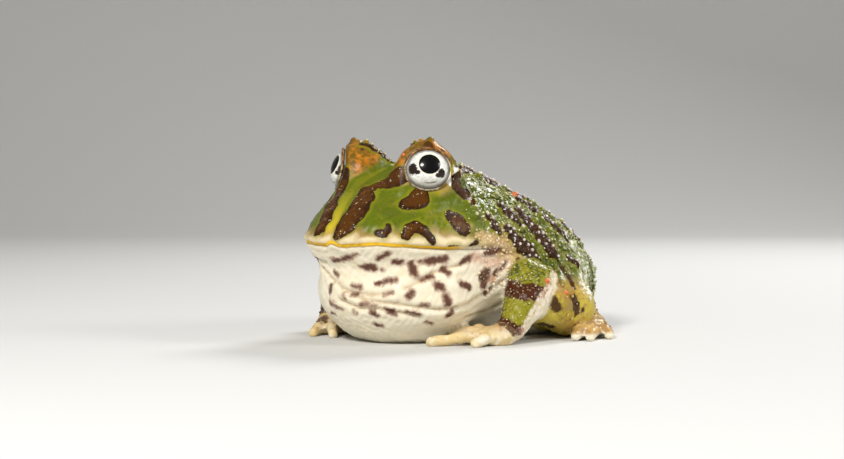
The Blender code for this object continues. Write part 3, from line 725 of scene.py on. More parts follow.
def flesh(p):
    """Distance to the frog's smooth form, negative inside it."""
    d = body_form(p)
    for side in SIDES:
        d = smooth_min(d, arms(p, side), BLEND["arm"])
        d = smooth_min(d, legs(p, side), BLEND["leg"])
    return d


def slope(p, step=0.02):
    corners = np.array([(1, -1, -1), (-1, -1, 1), (-1, 1, -1), (1, 1, 1)], float)
    return sum(c * flesh(p + c * step)[:, None] for c in corners) / (4 * step)


def outward(p):
    g = slope(p)
    return g / np.maximum(np.linalg.norm(g, axis=1), 1e-6)[:, None]


def settle(p, rounds):
    """Moves points on to the skin along the slope of the field."""
    for _ in range(rounds):
        g = slope(p)
        s = flesh(p) / np.maximum((g * g).sum(1), 0.05)
        p = p - np.clip(s, -LONGEST_STEP, LONGEST_STEP)[:, None] * g
    return p


# The photo's camera: it frames the render, and its rays put each marking where the photo shows it
side_turn = math.radians(VIEW_SIDE)
rise_turn = math.radians(VIEW_RISE)
ACROSS = np.array([math.cos(side_turn), math.sin(side_turn), 0.0])
TOWARDS = np.array(
    [math.sin(side_turn) * math.cos(rise_turn), -math.cos(side_turn) * math.cos(rise_turn), math.sin(rise_turn)]
)
UPWARDS = np.cross(TOWARDS, ACROSS)
AIM = np.array([0.0, 0.0, AIM_HEIGHT]) - ACROSS * AIM_LEFT * PIXEL
LENS_PLACE = AIM + TOWARDS * VIEW_DISTANCE


def seen_at(pixels):
    """Points of the skin under these pixels, or nearest to their rays where the rays miss it.

    Each step is a share of the distance to the skin, so that no ray goes through a thin limb.
    """
    pixels = np.array(pixels, float)
    across = (pixels[:, 0] - PHOTO_WIDE / 2) * PIXEL
    high = (PHOTO_HIGH / 2 - pixels[:, 1]) * PIXEL
    rays = across[:, None] * ACROSS + high[:, None] * UPWARDS - TOWARDS * VIEW_DISTANCE
    rays = rays / np.linalg.norm(rays, axis=1)[:, None]
    far = np.full(len(rays), VIEW_DISTANCE + RAY_REACH[0])
    best = np.full(len(rays), 99.0)
    best_far = far.copy()
    for _ in range(RAY_STEPS):
        d = flesh(LENS_PLACE + far[:, None] * rays)
        closer = d < best
        best[closer] = d[closer]
        best_far[closer] = far[closer]
        far = np.minimum(far + np.clip(d, -1.0, 5.0) * 0.7 + (d > 0.02) * 0.02, VIEW_DISTANCE + RAY_REACH[1])
    return settle(LENS_PLACE + best_far[:, None] * rays, 3)


def dropped(x, y):
    """Point of the skin straight under a place on the plan, or nothing."""
    z = np.arange(DROP_FROM, 0.0, -DROP_STEP)
    line = np.stack([np.full_like(z, x), np.full_like(z, y), z], 1)
    inside = np.nonzero(flesh(line) < 0)[0]
    if not len(inside):
        return None
    return settle(line[inside[0] : inside[0] + 1], 2)[0]


def from_photo(strokes):
    """Points on the skin and half widths of strokes in the photo. A fold's points have no width."""
    feet = iter(seen_at([q[:2] for stroke in strokes for q in stroke]))
    return [
        ([next(feet) for _ in stroke], [q[2] * PIXEL if len(q) > 2 else 0.0 for q in stroke]) for stroke in strokes
    ]


def from_plan(strokes):
    return [([dropped(q[0], q[1]) for q in stroke], [q[2] for q in stroke]) for stroke in strokes]


def across_body(strokes):
    return [([mirrored(q, -1) for q in points], radii) for points, radii in strokes]


def both_sides(strokes):
    return strokes + across_body(strokes)


def with_far_side(strokes):
    """Strokes and those of their mirror images that lie on the side turned away from the camera."""
    far = [stroke for stroke in across_body(strokes) if np.max(outward(np.array(stroke[0])) @ TOWARDS) < 0.05]
    return strokes + far


def stroke_distance(p, points, radii):
    """Distance to a stroke through points on the skin, negative inside it and never over the reach."""
    points = np.asarray(points, float)
    room = float(max(radii)) + STROKE_REACH
    inside = np.all((p > points.min(0) - room) & (p < points.max(0) + room), axis=1)
    out = np.full(len(p), STROKE_REACH)
    if inside.any():
        q = p[inside]
        if len(points) == 1:
            d = np.linalg.norm(q - points[0], axis=1) - radii[0]
        else:
            d = chain(q, points, radii, BLEND["stroke bend"])
        out[inside] = np.minimum(d, STROKE_REACH)
    return out


def strokes_distance(p, strokes):
    out = np.full(len(p), STROKE_REACH)
    for points, radii in strokes:
        out = smooth_min(out, stroke_distance(p, points, radii), BLEND["strokes"])
    return out


RIDGES = both_sides(from_photo(BACK_RIDGES + BROW_CREST) + from_plan(PLAN_RIDGES))
STROKES = {
    "ridge": RIDGES,
    "brown": from_photo(NOSE_STRIPES) + with_far_side(from_photo(CHEEK_SPOTS + FLANK_SPOTS)) + RIDGES,
    "spots": both_sides(from_photo(LEG_SPOTS)),
    "wrist": both_sides(from_photo(WRIST_SPOTS)) + from_photo(FAR_HAND_SPOTS),
    "lid": both_sides(from_photo(LID_MARKS)),
    "flecks": with_far_side(from_photo(CHIN_FLECKS)),
    "midline": from_photo(MIDLINE),
    "edge": both_sides(from_photo(LIT_LID_EDGE)),
    "sandy": both_sides(from_photo(SANDY_SKIN)),
    "rusty": with_far_side(from_photo(RUSTY_SKIN)),
    "grains": both_sides(from_photo(GLINTING_GRAINS)),
    "pink": both_sides(from_photo(PINK_SKIN)),
    "rear_sheen_grains": both_sides(from_photo(REAR_SHEEN_GRAINS)),
    "fold": with_far_side(from_photo(FOLD_LINES)),
}


def mouth_height(p):
    """How far a point stands over the mouth line, which rises at the snout and falls to its corners."""
    wide = np.abs(p[:, 0])
    line = waves(wide, MOUTH_BOWS, MOUTH_Z + MOUTH_LIFT)
    return p[:, 2] - line + CORNER_DROP * rise(*CORNERS, wide)


def nostril_place(side):
    return settle(mirrored(NOSTRIL, side)[None, :], 3)[0]


def relief(p):
    """How far the skin stands out from the smooth form: lips, folds, ridges, patches and nostrils."""
    out = waves(mouth_height(p), LIP_RELIEF) * rise(*LIPS_FADE, p[:, 1])
    for points, radii in STROKES["fold"]:
        out += waves(stroke_distance(p, points, radii), FOLD_RELIEF)
    for name, (high, first, last) in STROKE_RELIEF.items():
        out += high * rise(first, last, strokes_distance(p, STROKES[name]))
    for side in SIDES:
        out += waves(np.linalg.norm(p - nostril_place(side), axis=1), NOSTRIL_RELIEF)
    return out


def eye_frame(side):
    axis = Vector(optical_axis(side))
    across = Vector((0, 0, 1)).cross(axis).normalized()
    return axis, across, axis.cross(across).normalized()


def to_nearer_eye(p):
    return np.minimum(*[np.linalg.norm(p - mirrored(EYE, side), axis=1) for side in SIDES])


def lid_line(side, turn, wider, seat):
    """Point on the oval line of the lids, wider than their gap, at a seat from the eye's centre."""
    axis, across, up = eye_frame(side)
    u = (LID_GAP[0] + wider) * math.cos(turn)
    v = (LID_GAP[1] + wider) * math.sin(turn) + LID_GAP_UP
    out = math.sqrt(seat**2 - u * u - v * v)
    return Vector(mirrored(EYE, side)) + across * u + up * v + axis * out


def open_lids(p):
    """Draws the skin in behind the eyeball over the gap between the lids."""
    for side in SIDES:
        c = mirrored(EYE, side)
        axis, across, up = (np.array(way) for way in eye_frame(side))
        q = p - c
        r = np.maximum(np.linalg.norm(q, axis=1), 1e-6)
        on_ball = q / r[:, None] * EYE_RADIUS
        oval = np.hypot(on_ball @ across / LID_GAP[0], (on_ball @ up - LID_GAP_UP) / LID_GAP[1])
        share = rise(*LID_FADE, oval) * (on_ball @ axis > 0) * (r < EYE_RADIUS + LID_SKIN)
        p = c + q * ((r * (1 - share) + (EYE_RADIUS - BEHIND_EYE) * share) / r)[:, None]
    return p


def arm_under(p, side):
    """How much a point lies on the underside of the forearm."""
    arm = ARMS[side]
    a = np.array(arm["elbow"], float)
    along = np.array(arm["wrist"], float) - a
    size = np.linalg.norm(along)
    along = along / size
    under = along * along[2] - np.array([0, 0, 1.0]) + np.array([UNDER_OUTWARDS * side, 0, 0])
    under = under - along * (under @ along)
    under = under / np.linalg.norm(under)
    t = np.clip((p - a) @ along, 0, size)
    return (p - a - t[:, None] * along) @ under


def limb_shares(p):
    """How much each point belongs to an arm, a hand, a hind leg and a foot."""
    rest = body_form(p)
    arm, leg = (np.minimum(form(p, 1), form(p, -1)) for form in (arms, legs))
    hand = np.minimum(*[near(p, arm_points(side), HAND_REACH, lambda q: hand_form(q, side)) for side in SIDES])
    foot = np.minimum(
        *[near(p, leg_points(side), HAND_REACH, lambda q: foot_form(q * np.array([side, 1, 1]))) for side in SIDES]
    )
    on_arm = rise(-0.1, 0.5, np.minimum(rest, leg) - arm)
    on_leg = rise(-0.2, 0.6, np.minimum(rest, arm) - leg)
    hand = rise(0.9, 0.15, hand) * on_arm
    foot = rise(0.9, 0.15, foot) * on_leg
    return {"arm": on_arm, "leg": on_leg, "hand": hand, "foot": foot}


def markings(p):
    """What the materials read at each point: distances in millimetres and shares from 0 to 1."""
    p = np.asarray(p, float)
    y, z = p[:, 1], p[:, 2]
    wavy = lumps(p, WAVY_EDGES)
    found = {name: strokes_distance(p, STROKES[name]) + wavy * share for name, share in MARK_WAVES.items()}
    found["brown"] = found["brown"] + lumps(p, RAGGED_EDGES) * rise(*SMOOTH_PATCHES_BEFORE, y)
    found.update(limb_shares(p))
    edge = PALE_HEIGHT
    for drop, first, last in PALE_DROPS:
        edge = edge - drop * rise(first, last, y)
    found["pale"] = lumps(p, PALE_EDGES, edge - z)
    under = np.where(p[:, 0] > 0, arm_under(p, 1), arm_under(p, -1))
    found["under"] = np.clip(under, -MARK_LIMIT, MARK_LIMIT) * found["arm"]
    across = np.abs(p[:, 0]) * ACROSS[0] + y * ACROSS[1]
    bands = [np.abs(z + lean * (across - at) - level) - half for lean, at, level, half in ARM_BANDS]
    found["bands"] = np.minimum(*bands) + wavy * 2
    found["orange"] = np.zeros(len(p))
    found["socket"] = np.full(len(p), FAR_OFF)
    for side in SIDES:
        q = p - mirrored(EYE, side)
        r = np.linalg.norm(q, axis=1)
        ahead = q @ np.array(eye_frame(side)[0])
        found["socket"] = np.minimum(found["socket"], r + 3.0 * rise(*SOCKET_FADE, ahead))
        over = rise(*BROW_SIDE, 0.85 * q[:, 2] - 0.6 * q[:, 1])
        found["orange"] = np.maximum(found["orange"], rise(*BROW_FADE, r) * over)
    rough = rise(*ROUGH_BEHIND, y) * rise(*ROUGH_ABOVE, z + 0.25 * np.maximum(y, 0))
    rough = np.maximum(rough, 0.9 * rise(0.5, -0.5, found["sandy"])) * (1 - found["arm"]) * (1 - found["leg"])
    arm_skin = rise(0.55, 0.9, found["arm"])
    wrist = rise(0.3, -0.3, found["wrist"]) * arm_skin
    found["rough"] = np.clip(rough + 0.8 * arm_skin * (1 - found["hand"]) + 0.3 * found["leg"] + 0.7 * wrist, 0, 1)
    found["mouth"] = np.clip(mouth_height(p), -MARK_LIMIT, MARK_LIMIT)
    knee = np.array(LEG["knee"], float)
    shank = np.array(LEG["heel"], float) - knee
    along = (y - knee[1]) * shank[1] / np.linalg.norm(shank) + wavy * 4
    found["bars"] = np.abs(np.mod(along, BARS_APART) - BARS_APART / 2) - BAR_HALF + 3.0 * rise(*BARS_FADE, y)
    return found


def write_layers(thing, layers):
    for name, values in layers.items():
        layer = thing.data.attributes.new(name, "FLOAT", "POINT")
        layer.data.foreach_set("value", np.asarray(values, np.float32))


def new_object(name, bm):
    mesh = bpy.data.meshes.new(name)
    bm.to_mesh(mesh)
    bm.free()
    made = bpy.data.objects.new(name, mesh)
    bpy.context.scene.collection.objects.link(made)
    return made


def bake(thing):
    graph = bpy.context.evaluated_depsgraph_get()
    made = bpy.data.meshes.new_from_object(thing.evaluated_get(graph))
    thing.modifiers.clear()
    old = thing.data
    thing.data = made
    bpy.data.meshes.remove(old)


def places(thing):
    co = np.empty(len(thing.data.vertices) * 3, np.float32)
    thing.data.vertices.foreach_get("co", co)
    return co.reshape(-1, 3).astype(float)


def put(thing, co):
    thing.data.vertices.foreach_set("co", co.astype(np.float32).ravel())
    thing.data.update()


def remesh(thing, cell):
    modifier = thing.modifiers.new("remesh", "REMESH")
    modifier.mode = "VOXEL"
    modifier.voxel_size = cell
    bake(thing)


def relax(thing, rounds):
    bm = bmesh.new()
    bm.from_mesh(thing.data)
    for _ in range(rounds):
        bmesh.ops.smooth_vert(bm, verts=bm.verts, factor=0.5, use_axis_x=True, use_axis_y=True, use_axis_z=True)
    bm.to_mesh(thing.data)
    bm.free()


def turn_round(bm, geom, steps):
    """Spins edges once round the z axis to a closed shape."""
    bmesh.ops.spin(
        bm, geom=geom, cent=(0, 0, 0), axis=(0, 0, 1), dvec=(0, 0, 0), angle=2 * math.pi, steps=steps,
        use_merge=True, use_duplicate=False,
    )


def ball(bm, centre, radii):
    place = Matrix.Translation(Vector(centre)) @ Matrix.Diagonal((*radii, 1.0))
    bmesh.ops.create_icosphere(bm, subdivisions=3, radius=1.0, matrix=place)


def row_of_balls(bm, a, b, ra, rb):
    a = Vector(a)
    b = Vector(b)
    count = max(2, int((b - a).length / (BALL_STEP * min(ra, rb))) + 1)
    for i in range(count + 1):
        t = i / count
        ball(bm, a.lerp(b, t), (ra + (rb - ra) * t,) * 3)


def balls_along(bm, joints, rows, side=1):
    """Rows of balls between named or numbered joints, on one side of the body."""
    for a, b, ra, rb in rows:
        row_of_balls(bm, mirrored(joints[a], side), mirrored(joints[b], side), ra, rb)


def rough_flesh():
    """Overlapping balls that the smooth form is drawn over."""
    bm = bmesh.new()
    for centre, radii in (*HEAD_BALLS, BACK, RUMP, THROAT):
        ball(bm, centre, radii)
    for side in SIDES:
        c = mirrored(EYE, side)
        ball(bm, c, (EYE_BALL,) * 3)
        row_of_balls(bm, c + mirrored(HORN_ROOT, side), c + mirrored(HORN_TIP, side), *HORN_BALLS)
        balls_along(bm, ARMS[side], ARM_BALLS)
        ball(bm, ARMS[side]["palm"], PALM_BALL)
        for finger in ARMS[side]["fingers"]:
            balls_along(bm, finger, DIGIT_BALLS)
        balls_along(bm, LEG, LEG_BALLS, side)
        for toe in LEG["toes"]:
            balls_along(bm, toe, DIGIT_BALLS, side)
    return new_object("skin", bm)


def make_skin():
    """The one skin, and its points on the smooth form as they were before the relief."""
    skin = rough_flesh()
    remesh(skin, FIRST_CELL)
    put(skin, settle(places(skin), 4))
    remesh(skin, SKIN_CELL)
    put(skin, settle(places(skin), 2))
    relax(skin, 2)
    p = settle(places(skin), 1)
    shape = lumps(p, SKIN_LUMPS, relief(p)) * rise(*SMOOTH_ROUND_EYES, to_nearer_eye(p))
    bare = open_lids(p + outward(p) * shape[:, None])
    bare[:, 2] = np.maximum(bare[:, 2], 0.0)
    put(skin, bare)
    write_layers(skin, {**markings(p), "tip": np.zeros(len(p)), "hue": np.zeros(len(p))})
    return skin, p


def turned_wart(name, profile, sides):
    """A wart of radius and height 1, turned round from its profile of radii and heights."""
    bm = bmesh.new()
    line = [bm.verts.new((radius, 0, height)) for radius, height in profile]
    edges = [bm.edges.new(pair) for pair in zip(line[:-1], line[1:])]
    turn_round(bm, line + edges, sides)
    bmesh.ops.remove_doubles(bm, verts=bm.verts, dist=0.0001)
    bmesh.ops.recalc_face_normals(bm, faces=bm.faces)
    mesh = bpy.data.meshes.new(name)
    bm.to_mesh(mesh)
    bm.free()
    return mesh


def plant(pattern, feet, ways, sizes, spins):
    """Copies of one wart, each on its foot and standing out from the skin, gathered in quick small lots."""
    whole = bmesh.new()
    lot = bmesh.new()
    for i, (foot, way, (radius, height)) in enumerate(zip(feet, ways, sizes)):
        turn = Vector(way).to_track_quat("Z", "Y").to_matrix().to_4x4()
        place = Matrix.Translation(Vector(foot)) @ turn @ Matrix.Rotation(spins[i], 4, "Z")
        place = place @ Matrix.Diagonal((radius, radius, height, 1.0))
        before = len(lot.verts)
        lot.from_mesh(pattern)
        lot.verts.ensure_lookup_table()
        bmesh.ops.transform(lot, matrix=place, verts=lot.verts[before:])
        if len(lot.verts) > LOT_POINTS or i == len(feet) - 1:
            part = bpy.data.meshes.new("part")
            lot.to_mesh(part)
            lot.free()
            whole.from_mesh(part)
            bpy.data.meshes.remove(part)
            lot = bmesh.new()
    lot.free()
    return whole


def clear_of(foot, others, apart):
    return all(np.linalg.norm(foot - q) > apart for q in others)


def seeded_warts():
    """The same rows and drifts of warts as in the solids."""
    draw = random.Random(WART_SEED)
    found = []
    for side in SIDES:
        for i in range(ROW_WARTS):
            x = side * (ROW_START[0] + ROW_BOW[0] * i - ROW_BOW[1] * i * i)
            found.append((dropped(x, ROW_START[1] + i * ROW_STEP), "large" if i % 2 else "middle"))
    for count, xs, ys, sizes, apart in WART_DRIFTS:
        made = 0
        for _ in range(MOST_TRIES):
            if made == count:
                break
            p = dropped(draw.uniform(*xs), draw.uniform(*ys))
            size = draw.choice(sizes)
            if p is not None and p[2] >= LOWEST_WART and clear_of(p, [q for q, _ in found], apart):
                found.append((p, size))
                made += 1
    return [(p, WARTS[size]) for p, size in found]


def ridge_warts():
    """Pointed warts in a loose double row along each brown ridge of the back."""
    draw = random.Random(WART_SEED + 1)
    found = []
    for points, radii in RIDGES:
        for i in range(len(points) - 1):
            a = np.array(points[i])
            b = np.array(points[i + 1])
            count = max(1, round(float(np.linalg.norm(b - a)) / WART_STEP))
            for j in range(count):
                t = (j + draw.uniform(0.2, 0.8)) / count
                wide = radii[i] + (radii[i + 1] - radii[i]) * t
                for _ in range(2 if wide > DOUBLE_ROW else 1):
                    shift = np.array([draw.uniform(-1, 1) for _ in range(3)]) * wide * 0.8
                    found.append((a + (b - a) * t + shift, draw.choice(RIDGE_WARTS)))
    feet = settle(np.array([p for p, _ in found]), 3)
    return [(foot, size) for foot, (_, size) in zip(feet, found)]


def large_warts(orange):
    """Foot and size of each wart: seeded, of the crests, of the ridges, and the orange ones last."""
    crest = both_sides([([q], [wart[2]]) for q, wart in zip(seen_at(CREST_WARTS), CREST_WARTS)])
    crest = [(points[0], (radii[0], radii[0] * CREST_POINT)) for points, radii in crest]
    crest_feet = [q for q, _ in crest]
    found = [(q, size) for q, size in seeded_warts() if clear_of(q, crest_feet, 0.9)] + crest
    for foot, size in ridge_warts():
        if clear_of(foot, [q for q, _ in found], 0.8):
            found.append((foot, size))
    found = [(q, size) for q, size in found if clear_of(q, orange, 1.2)]
    return found + [(q, (wart[2], wart[2] * ORANGE_POINT)) for q, wart in zip(orange, ORANGE_WARTS)]


def thinned(candidates, taken, apart):
    """Keeps the candidates that stand clear of each other and of those taken before."""
    cells = {}

    def key(q):
        return tuple(np.floor(q / THIN_CELL).astype(int))

    for q in taken:
        cells.setdefault(key(q), []).append(q)
    kept = []
    for q in candidates:
        k = key(q)
        around = [
            r
            for a in (-1, 0, 1)
            for b in (-1, 0, 1)
            for c in (-1, 0, 1)
            for r in cells.get((k[0] + a, k[1] + b, k[2] + c), ())
        ]
        if clear_of(q, around, apart):
            cells.setdefault(k, []).append(q)
            kept.append(q)
    return kept


def granule_feet(p, wart_feet, draw):
    """Places of the granules: anywhere on rough skin, and along the edges of the brown patches."""
    found = markings(p)
    edges = rise(0.25, -0.05, np.abs(found["brown"] + 0.2)) * rise(3.0, -2.0, p[:, 1])
    share = np.maximum(found["rough"] * rise(2.4, 1.6, found["under"]), 0.3 * edges)
    chance = GRANULE_SHARE * share * rise(5.8, 6.4, to_nearer_eye(p))
    order = list(range(len(p)))
    draw.shuffle(order)
    candidates = [p[i] for i in order if draw.random() < chance[i] and p[i][2] > LOWEST_GRANULE]
    return thinned(candidates, wart_feet, FINE_APART)


def granule_sizes(feet, draw):
    found = markings(np.array(feet))
    shares = 0.65 + 0.35 * found["rough"] - 0.25 * found["arm"]
    return [np.array(draw.choice(FINE_WARTS)) * share for share in shares]


def stand(name, pattern, feet, sizes, orange, draw):
    """One object of many warts, each point marked with its height on its wart and with the skin under it."""
    spins = [draw.uniform(0, 3) for _ in feet]
    ways = outward(np.array(feet))
    thing = new_object(name, plant(pattern, feet, ways, sizes, spins))
    heights = [max(0.0, v.co.z) for v in pattern.vertices]
    hues = [float(not clear_of(q, orange, 0.01)) for q in feet]
    p = places(thing)
    way = np.repeat(ways, len(heights), axis=0)
    rises = np.sum((p - np.repeat(feet, len(heights), axis=0)) * way, axis=1)
    found = markings(p - rises[:, None] * way)
    write_layers(thing, {**found, "tip": np.tile(heights, len(feet)), "hue": np.repeat(hues, len(heights))})
    bpy.data.meshes.remove(pattern)
    return thing


def make_warts(skin_points):
    draw = random.Random(WART_SEED + 3)
    orange = list(seen_at(ORANGE_WARTS))
    large = large_warts(orange)
    wart_feet = [q for q, _ in large]
    feet = granule_feet(skin_points, wart_feet, draw)
    sizes = granule_sizes(feet, draw)
    warts = stand("warts", turned_wart("cone", CONE, 8), wart_feet, [size for _, size in large], orange, draw)
    return warts, stand("granules", turned_wart("bead", BEAD, 6), feet, sizes, (), draw)


def make_lids():
    """Rounded rims that hug each eyeball, thicker over the top."""
    bm = bmesh.new()
    upright = Matrix.Translation((RIM_RING, 0, 0)) @ Matrix.Rotation(math.pi / 2, 4, "X")
    for side in SIDES:
        centre = Vector(mirrored(EYE, side))
        ring = bmesh.ops.create_circle(bm, segments=RIM_SIDES, radius=1.0)["verts"]
        edges = list(dict.fromkeys(edge for v in ring for edge in v.link_edges))
        bmesh.ops.transform(bm, matrix=upright, verts=ring)
        before = set(bm.verts) - set(ring)
        turn_round(bm, ring + edges, RIM_STEPS)
        for v in set(bm.verts) - before:
            turn = math.atan2(v.co.y, v.co.x)
            wide = math.hypot(v.co.x, v.co.y) - RIM_RING
            high = v.co.z
            thick = LID_LIP + LID_LIP_TOP * max(0.0, math.sin(turn))
            middle, ahead, behind = (lid_line(side, turn + t, RIM_WIDER, RIM_SEAT) for t in (0.0, 0.02, -0.02))
            out = (middle - centre).normalized()
            aside = (ahead - behind).cross(out).normalized()
            v.co = middle + (aside * wide + out * high) * thick
    bmesh.ops.recalc_face_normals(bm, faces=bm.faces)
    lids = new_object("eyelid_rims", bm)
    p = places(lids)
    layers = {name: np.zeros(len(p)) for name in ("inner", "top", "rear")}
    for side in SIDES:
        _, across, up = (np.array(way) for way in eye_frame(side))
        q = p - mirrored(EYE, side)
        mine = np.linalg.norm(q, axis=1) < 8.0
        u = (q @ across)[mine]
        v = (q @ up - LID_GAP_UP)[mine]
        oval = np.hypot(u / (LID_GAP[0] + RIM_WIDER), v / (LID_GAP[1] + RIM_WIDER))
        layers["inner"][mine] = (oval - 1.0) * 3.5
        layers["top"][mine] = v / 3.0
        layers["rear"][mine] = side * u / 3.0
    write_layers(lids, layers)
    return lids


def make_eye(side, word):
    """One eyeball, with each point's place across and up its iris. The far eye looks a little forward."""
    axis, across, up = eye_frame(side)
    bm = bmesh.new()
    bmesh.ops.create_icosphere(bm, subdivisions=6, radius=EYE_RADIUS)
    flat = np.array([tuple(v.co) for v in bm.verts])
    turn = Matrix((across, up, axis)).transposed().to_4x4()
    turn.translation = Vector(mirrored(EYE, side))
    bmesh.ops.transform(bm, matrix=turn, verts=bm.verts)
    eye = new_object("eye_" + word + "_wet", bm)
    gaze = FAR_GAZE if side < 0 else 0.0
    u = side * flat[:, 0]
    write_layers(eye, {"rim_u": u, "eye_u": u + gaze, "eye_v": flat[:, 1]})
    return eye


def to_part(thing):
    thing.data.transform(Matrix.Translation((0, SHIFT_Y, 0)))
    thing.data.transform(Matrix.Scale(MM, 4))
    thing.data.shade_smooth()


class Value:
    """A socket of a material's nodes that can be used in plain sums."""

    def __init__(self, finish, socket):
        self.finish = finish
        self.socket = socket

    def math(self, operation, a, b):
        return self.finish.node("ShaderNodeMath", {"operation": operation}, {0: a, 1: b})

    def __add__(self, other):
        return self.math("ADD", self, other)

    def __radd__(self, other):
        return self.math("ADD", other, self)

    def __sub__(self, other):
        return self.math("SUBTRACT", self, other)

    def __rsub__(self, other):
        return self.math("SUBTRACT", other, self)

    def __mul__(self, other):
        return self.math("MULTIPLY", self, other)

    def __rmul__(self, other):
        return self.math("MULTIPLY", other, self)

    def __truediv__(self, other):
        return self.math("DIVIDE", self, other)

    def __pow__(self, other):
        return self.math("POWER", self, other)


class Finish:
    """One material: constants on the shader's own sockets, the rest through node()."""

    def __init__(self, name, constants):
        self.material = bpy.data.materials.new(name)
        self.material.use_nodes = True
        self.tree = self.material.node_tree
        self.shader = self.tree.nodes["Principled BSDF"]
        for socket, value in constants.items():
            self.shader.inputs[socket].default_value = value

    def node(self, kind, settings, inputs, output=0):
        made = self.tree.nodes.new(kind)
        for key, value in settings.items():
            setattr(made, key, value)
        for key, value in inputs.items():
            if isinstance(value, Value):
                self.tree.links.new(value.socket, made.inputs[key])
            else:
                made.inputs[key].default_value = value
        return Value(self, made.outputs[output])

    def feed(self, socket, value):
        self.tree.links.new(value.socket, self.shader.inputs[socket])

    def layer(self, name):
        return self.node("ShaderNodeAttribute", {"attribute_name": name}, {}, "Fac")

    def where(self):
        return self.node("ShaderNodeTexCoord", {}, {}, "Object")

    def along(self, axis):
        """Place along one axis of the part, in millimetres."""
        return self.node("ShaderNodeSeparateXYZ", {}, {"Vector": self.where()}, axis) / MM

    def noise(self, size, detail=3.0, roughness=0.55):
        """Noise of about one size in millimetres, round 0."""
        scale = 1.0 / (size * MM)
        inputs = {"Vector": self.where(), "Scale": scale, "Detail": detail, "Roughness": roughness}
        return self.node("ShaderNodeTexNoise", {}, inputs, "Fac") - 0.5

    def cells(self, size):
        inputs = {"Vector": self.where(), "Scale": 1.0 / (size * MM), "Smoothness": 0.5}
        return self.node("ShaderNodeTexVoronoi", {"feature": "SMOOTH_F1"}, inputs, "Distance")

    def step(self, value, low, high):
        """0 at low and 1 at high, soft at both ends. Low may be the larger."""
        ends = {"From Min": min(low, high), "From Max": max(low, high)}
        ends["To Min"] = float(low > high)
        ends["To Max"] = float(low <= high)
        return self.node("ShaderNodeMapRange", {"interpolation_type": "SMOOTHSTEP"}, {"Value": value, **ends}, "Result")

    def mix(self, share, a, b):
        a, b = ((*c, 1.0) if isinstance(c, tuple) else c for c in (a, b))
        return self.node("ShaderNodeMix", {"data_type": "RGBA"}, {0: share, 6: a, 7: b}, 2)

    def bump(self, height, strength, distance):
        inputs = {"Height": height, "Strength": strength, "Distance": distance * MM}
        self.feed("Normal", self.node("ShaderNodeBump", {}, inputs, "Normal"))


class SkinFinish(Finish):
    """The skin's material, with the noises, places and masks that its colours share."""

    def __init__(self):
        super().__init__("frog_skin", {"Specular IOR Level": 0.16, "Coat Roughness": 0.06, "Coat IOR": 1.3})
        self.fine = self.noise(0.6)
        self.wide = self.noise(3.5)
        self.broad = self.noise(9.0)
        self.high = self.along("Z")
        self.y = self.along("Y")
        self.rough = self.layer("rough")
        self.back = self.step(self.y, -12.0, -3.0)
        self.lip = self.step(self.layer("pale") + self.fine * 0.8 + self.wide * 1.2, -0.5, 0.9)
        self.brown = self.layer("brown") + self.fine * 0.35
        self.off_arm = 1.0 - self.layer("arm")


def green_skin(f):
    """Mottled greens of the head and back, with the yellow stripe down the middle of the snout."""
    green = f.mix(f.step(f.wide + f.fine * 0.7, -0.02, 0.30), GREEN, GREEN_DEEP)
    green = f.mix(f.step(f.broad + f.fine * 0.6, 0.02, 0.30) * 0.6, green, GREEN_YELLOW)
    green = f.mix(f.step(f.noise(2.0) + f.fine, -0.25, 0.15) * f.back * 0.7, green, GREEN_DEEP)
    green = f.mix(f.step(f.noise(1.7) + f.fine * 0.6, 0.08, 0.22) * f.back * 0.6, green, BACK_OLIVE)
    stripe = f.mix(f.step(f.high, 24.5, 18.5), GREEN_YELLOW, YELLOW)
    stripe = f.mix(f.step(f.high, 23.5, 26.5) * 0.6, stripe, GREEN)
    return f.mix(f.step(f.layer("midline") + f.fine * 0.8, 0.5, -0.5), green, stripe)


def round_the_eyes(f, colour):
    """Tan, yellow and olive skin under the eyes, and orange brows over them."""
    under_eye = f.mix(f.step(f.wide + f.fine, -0.1, 0.1), TAN, YELLOW)
    under_eye = f.mix(f.step(f.high + f.fine, 28.5, 30.0), under_eye, OLIVE)
    colour = f.mix(f.step(f.layer("socket") + f.fine * 0.8, 5.9, 4.9) * 0.75, colour, under_eye)
    brow = f.mix(f.step(f.noise(1.6) + f.fine * 0.5, -0.2, 0.12), BROW, OLIVE)
    brow = f.mix(f.step(f.wide + f.fine * 0.5, -0.05, -0.25) * 0.8, brow, ORANGE)
    brow = f.mix(f.step(f.high + f.fine * 2.0, 31.5, 33.5) * 0.35, brow, OLIVE)
    brow = f.mix(f.step(f.high + f.fine, 29.5, 27.0) * 0.6, brow, SAND)
    return f.mix(f.step(f.layer("orange") + f.wide * 1.4 + f.fine * 0.6, 0.15, 0.65), colour, brow)


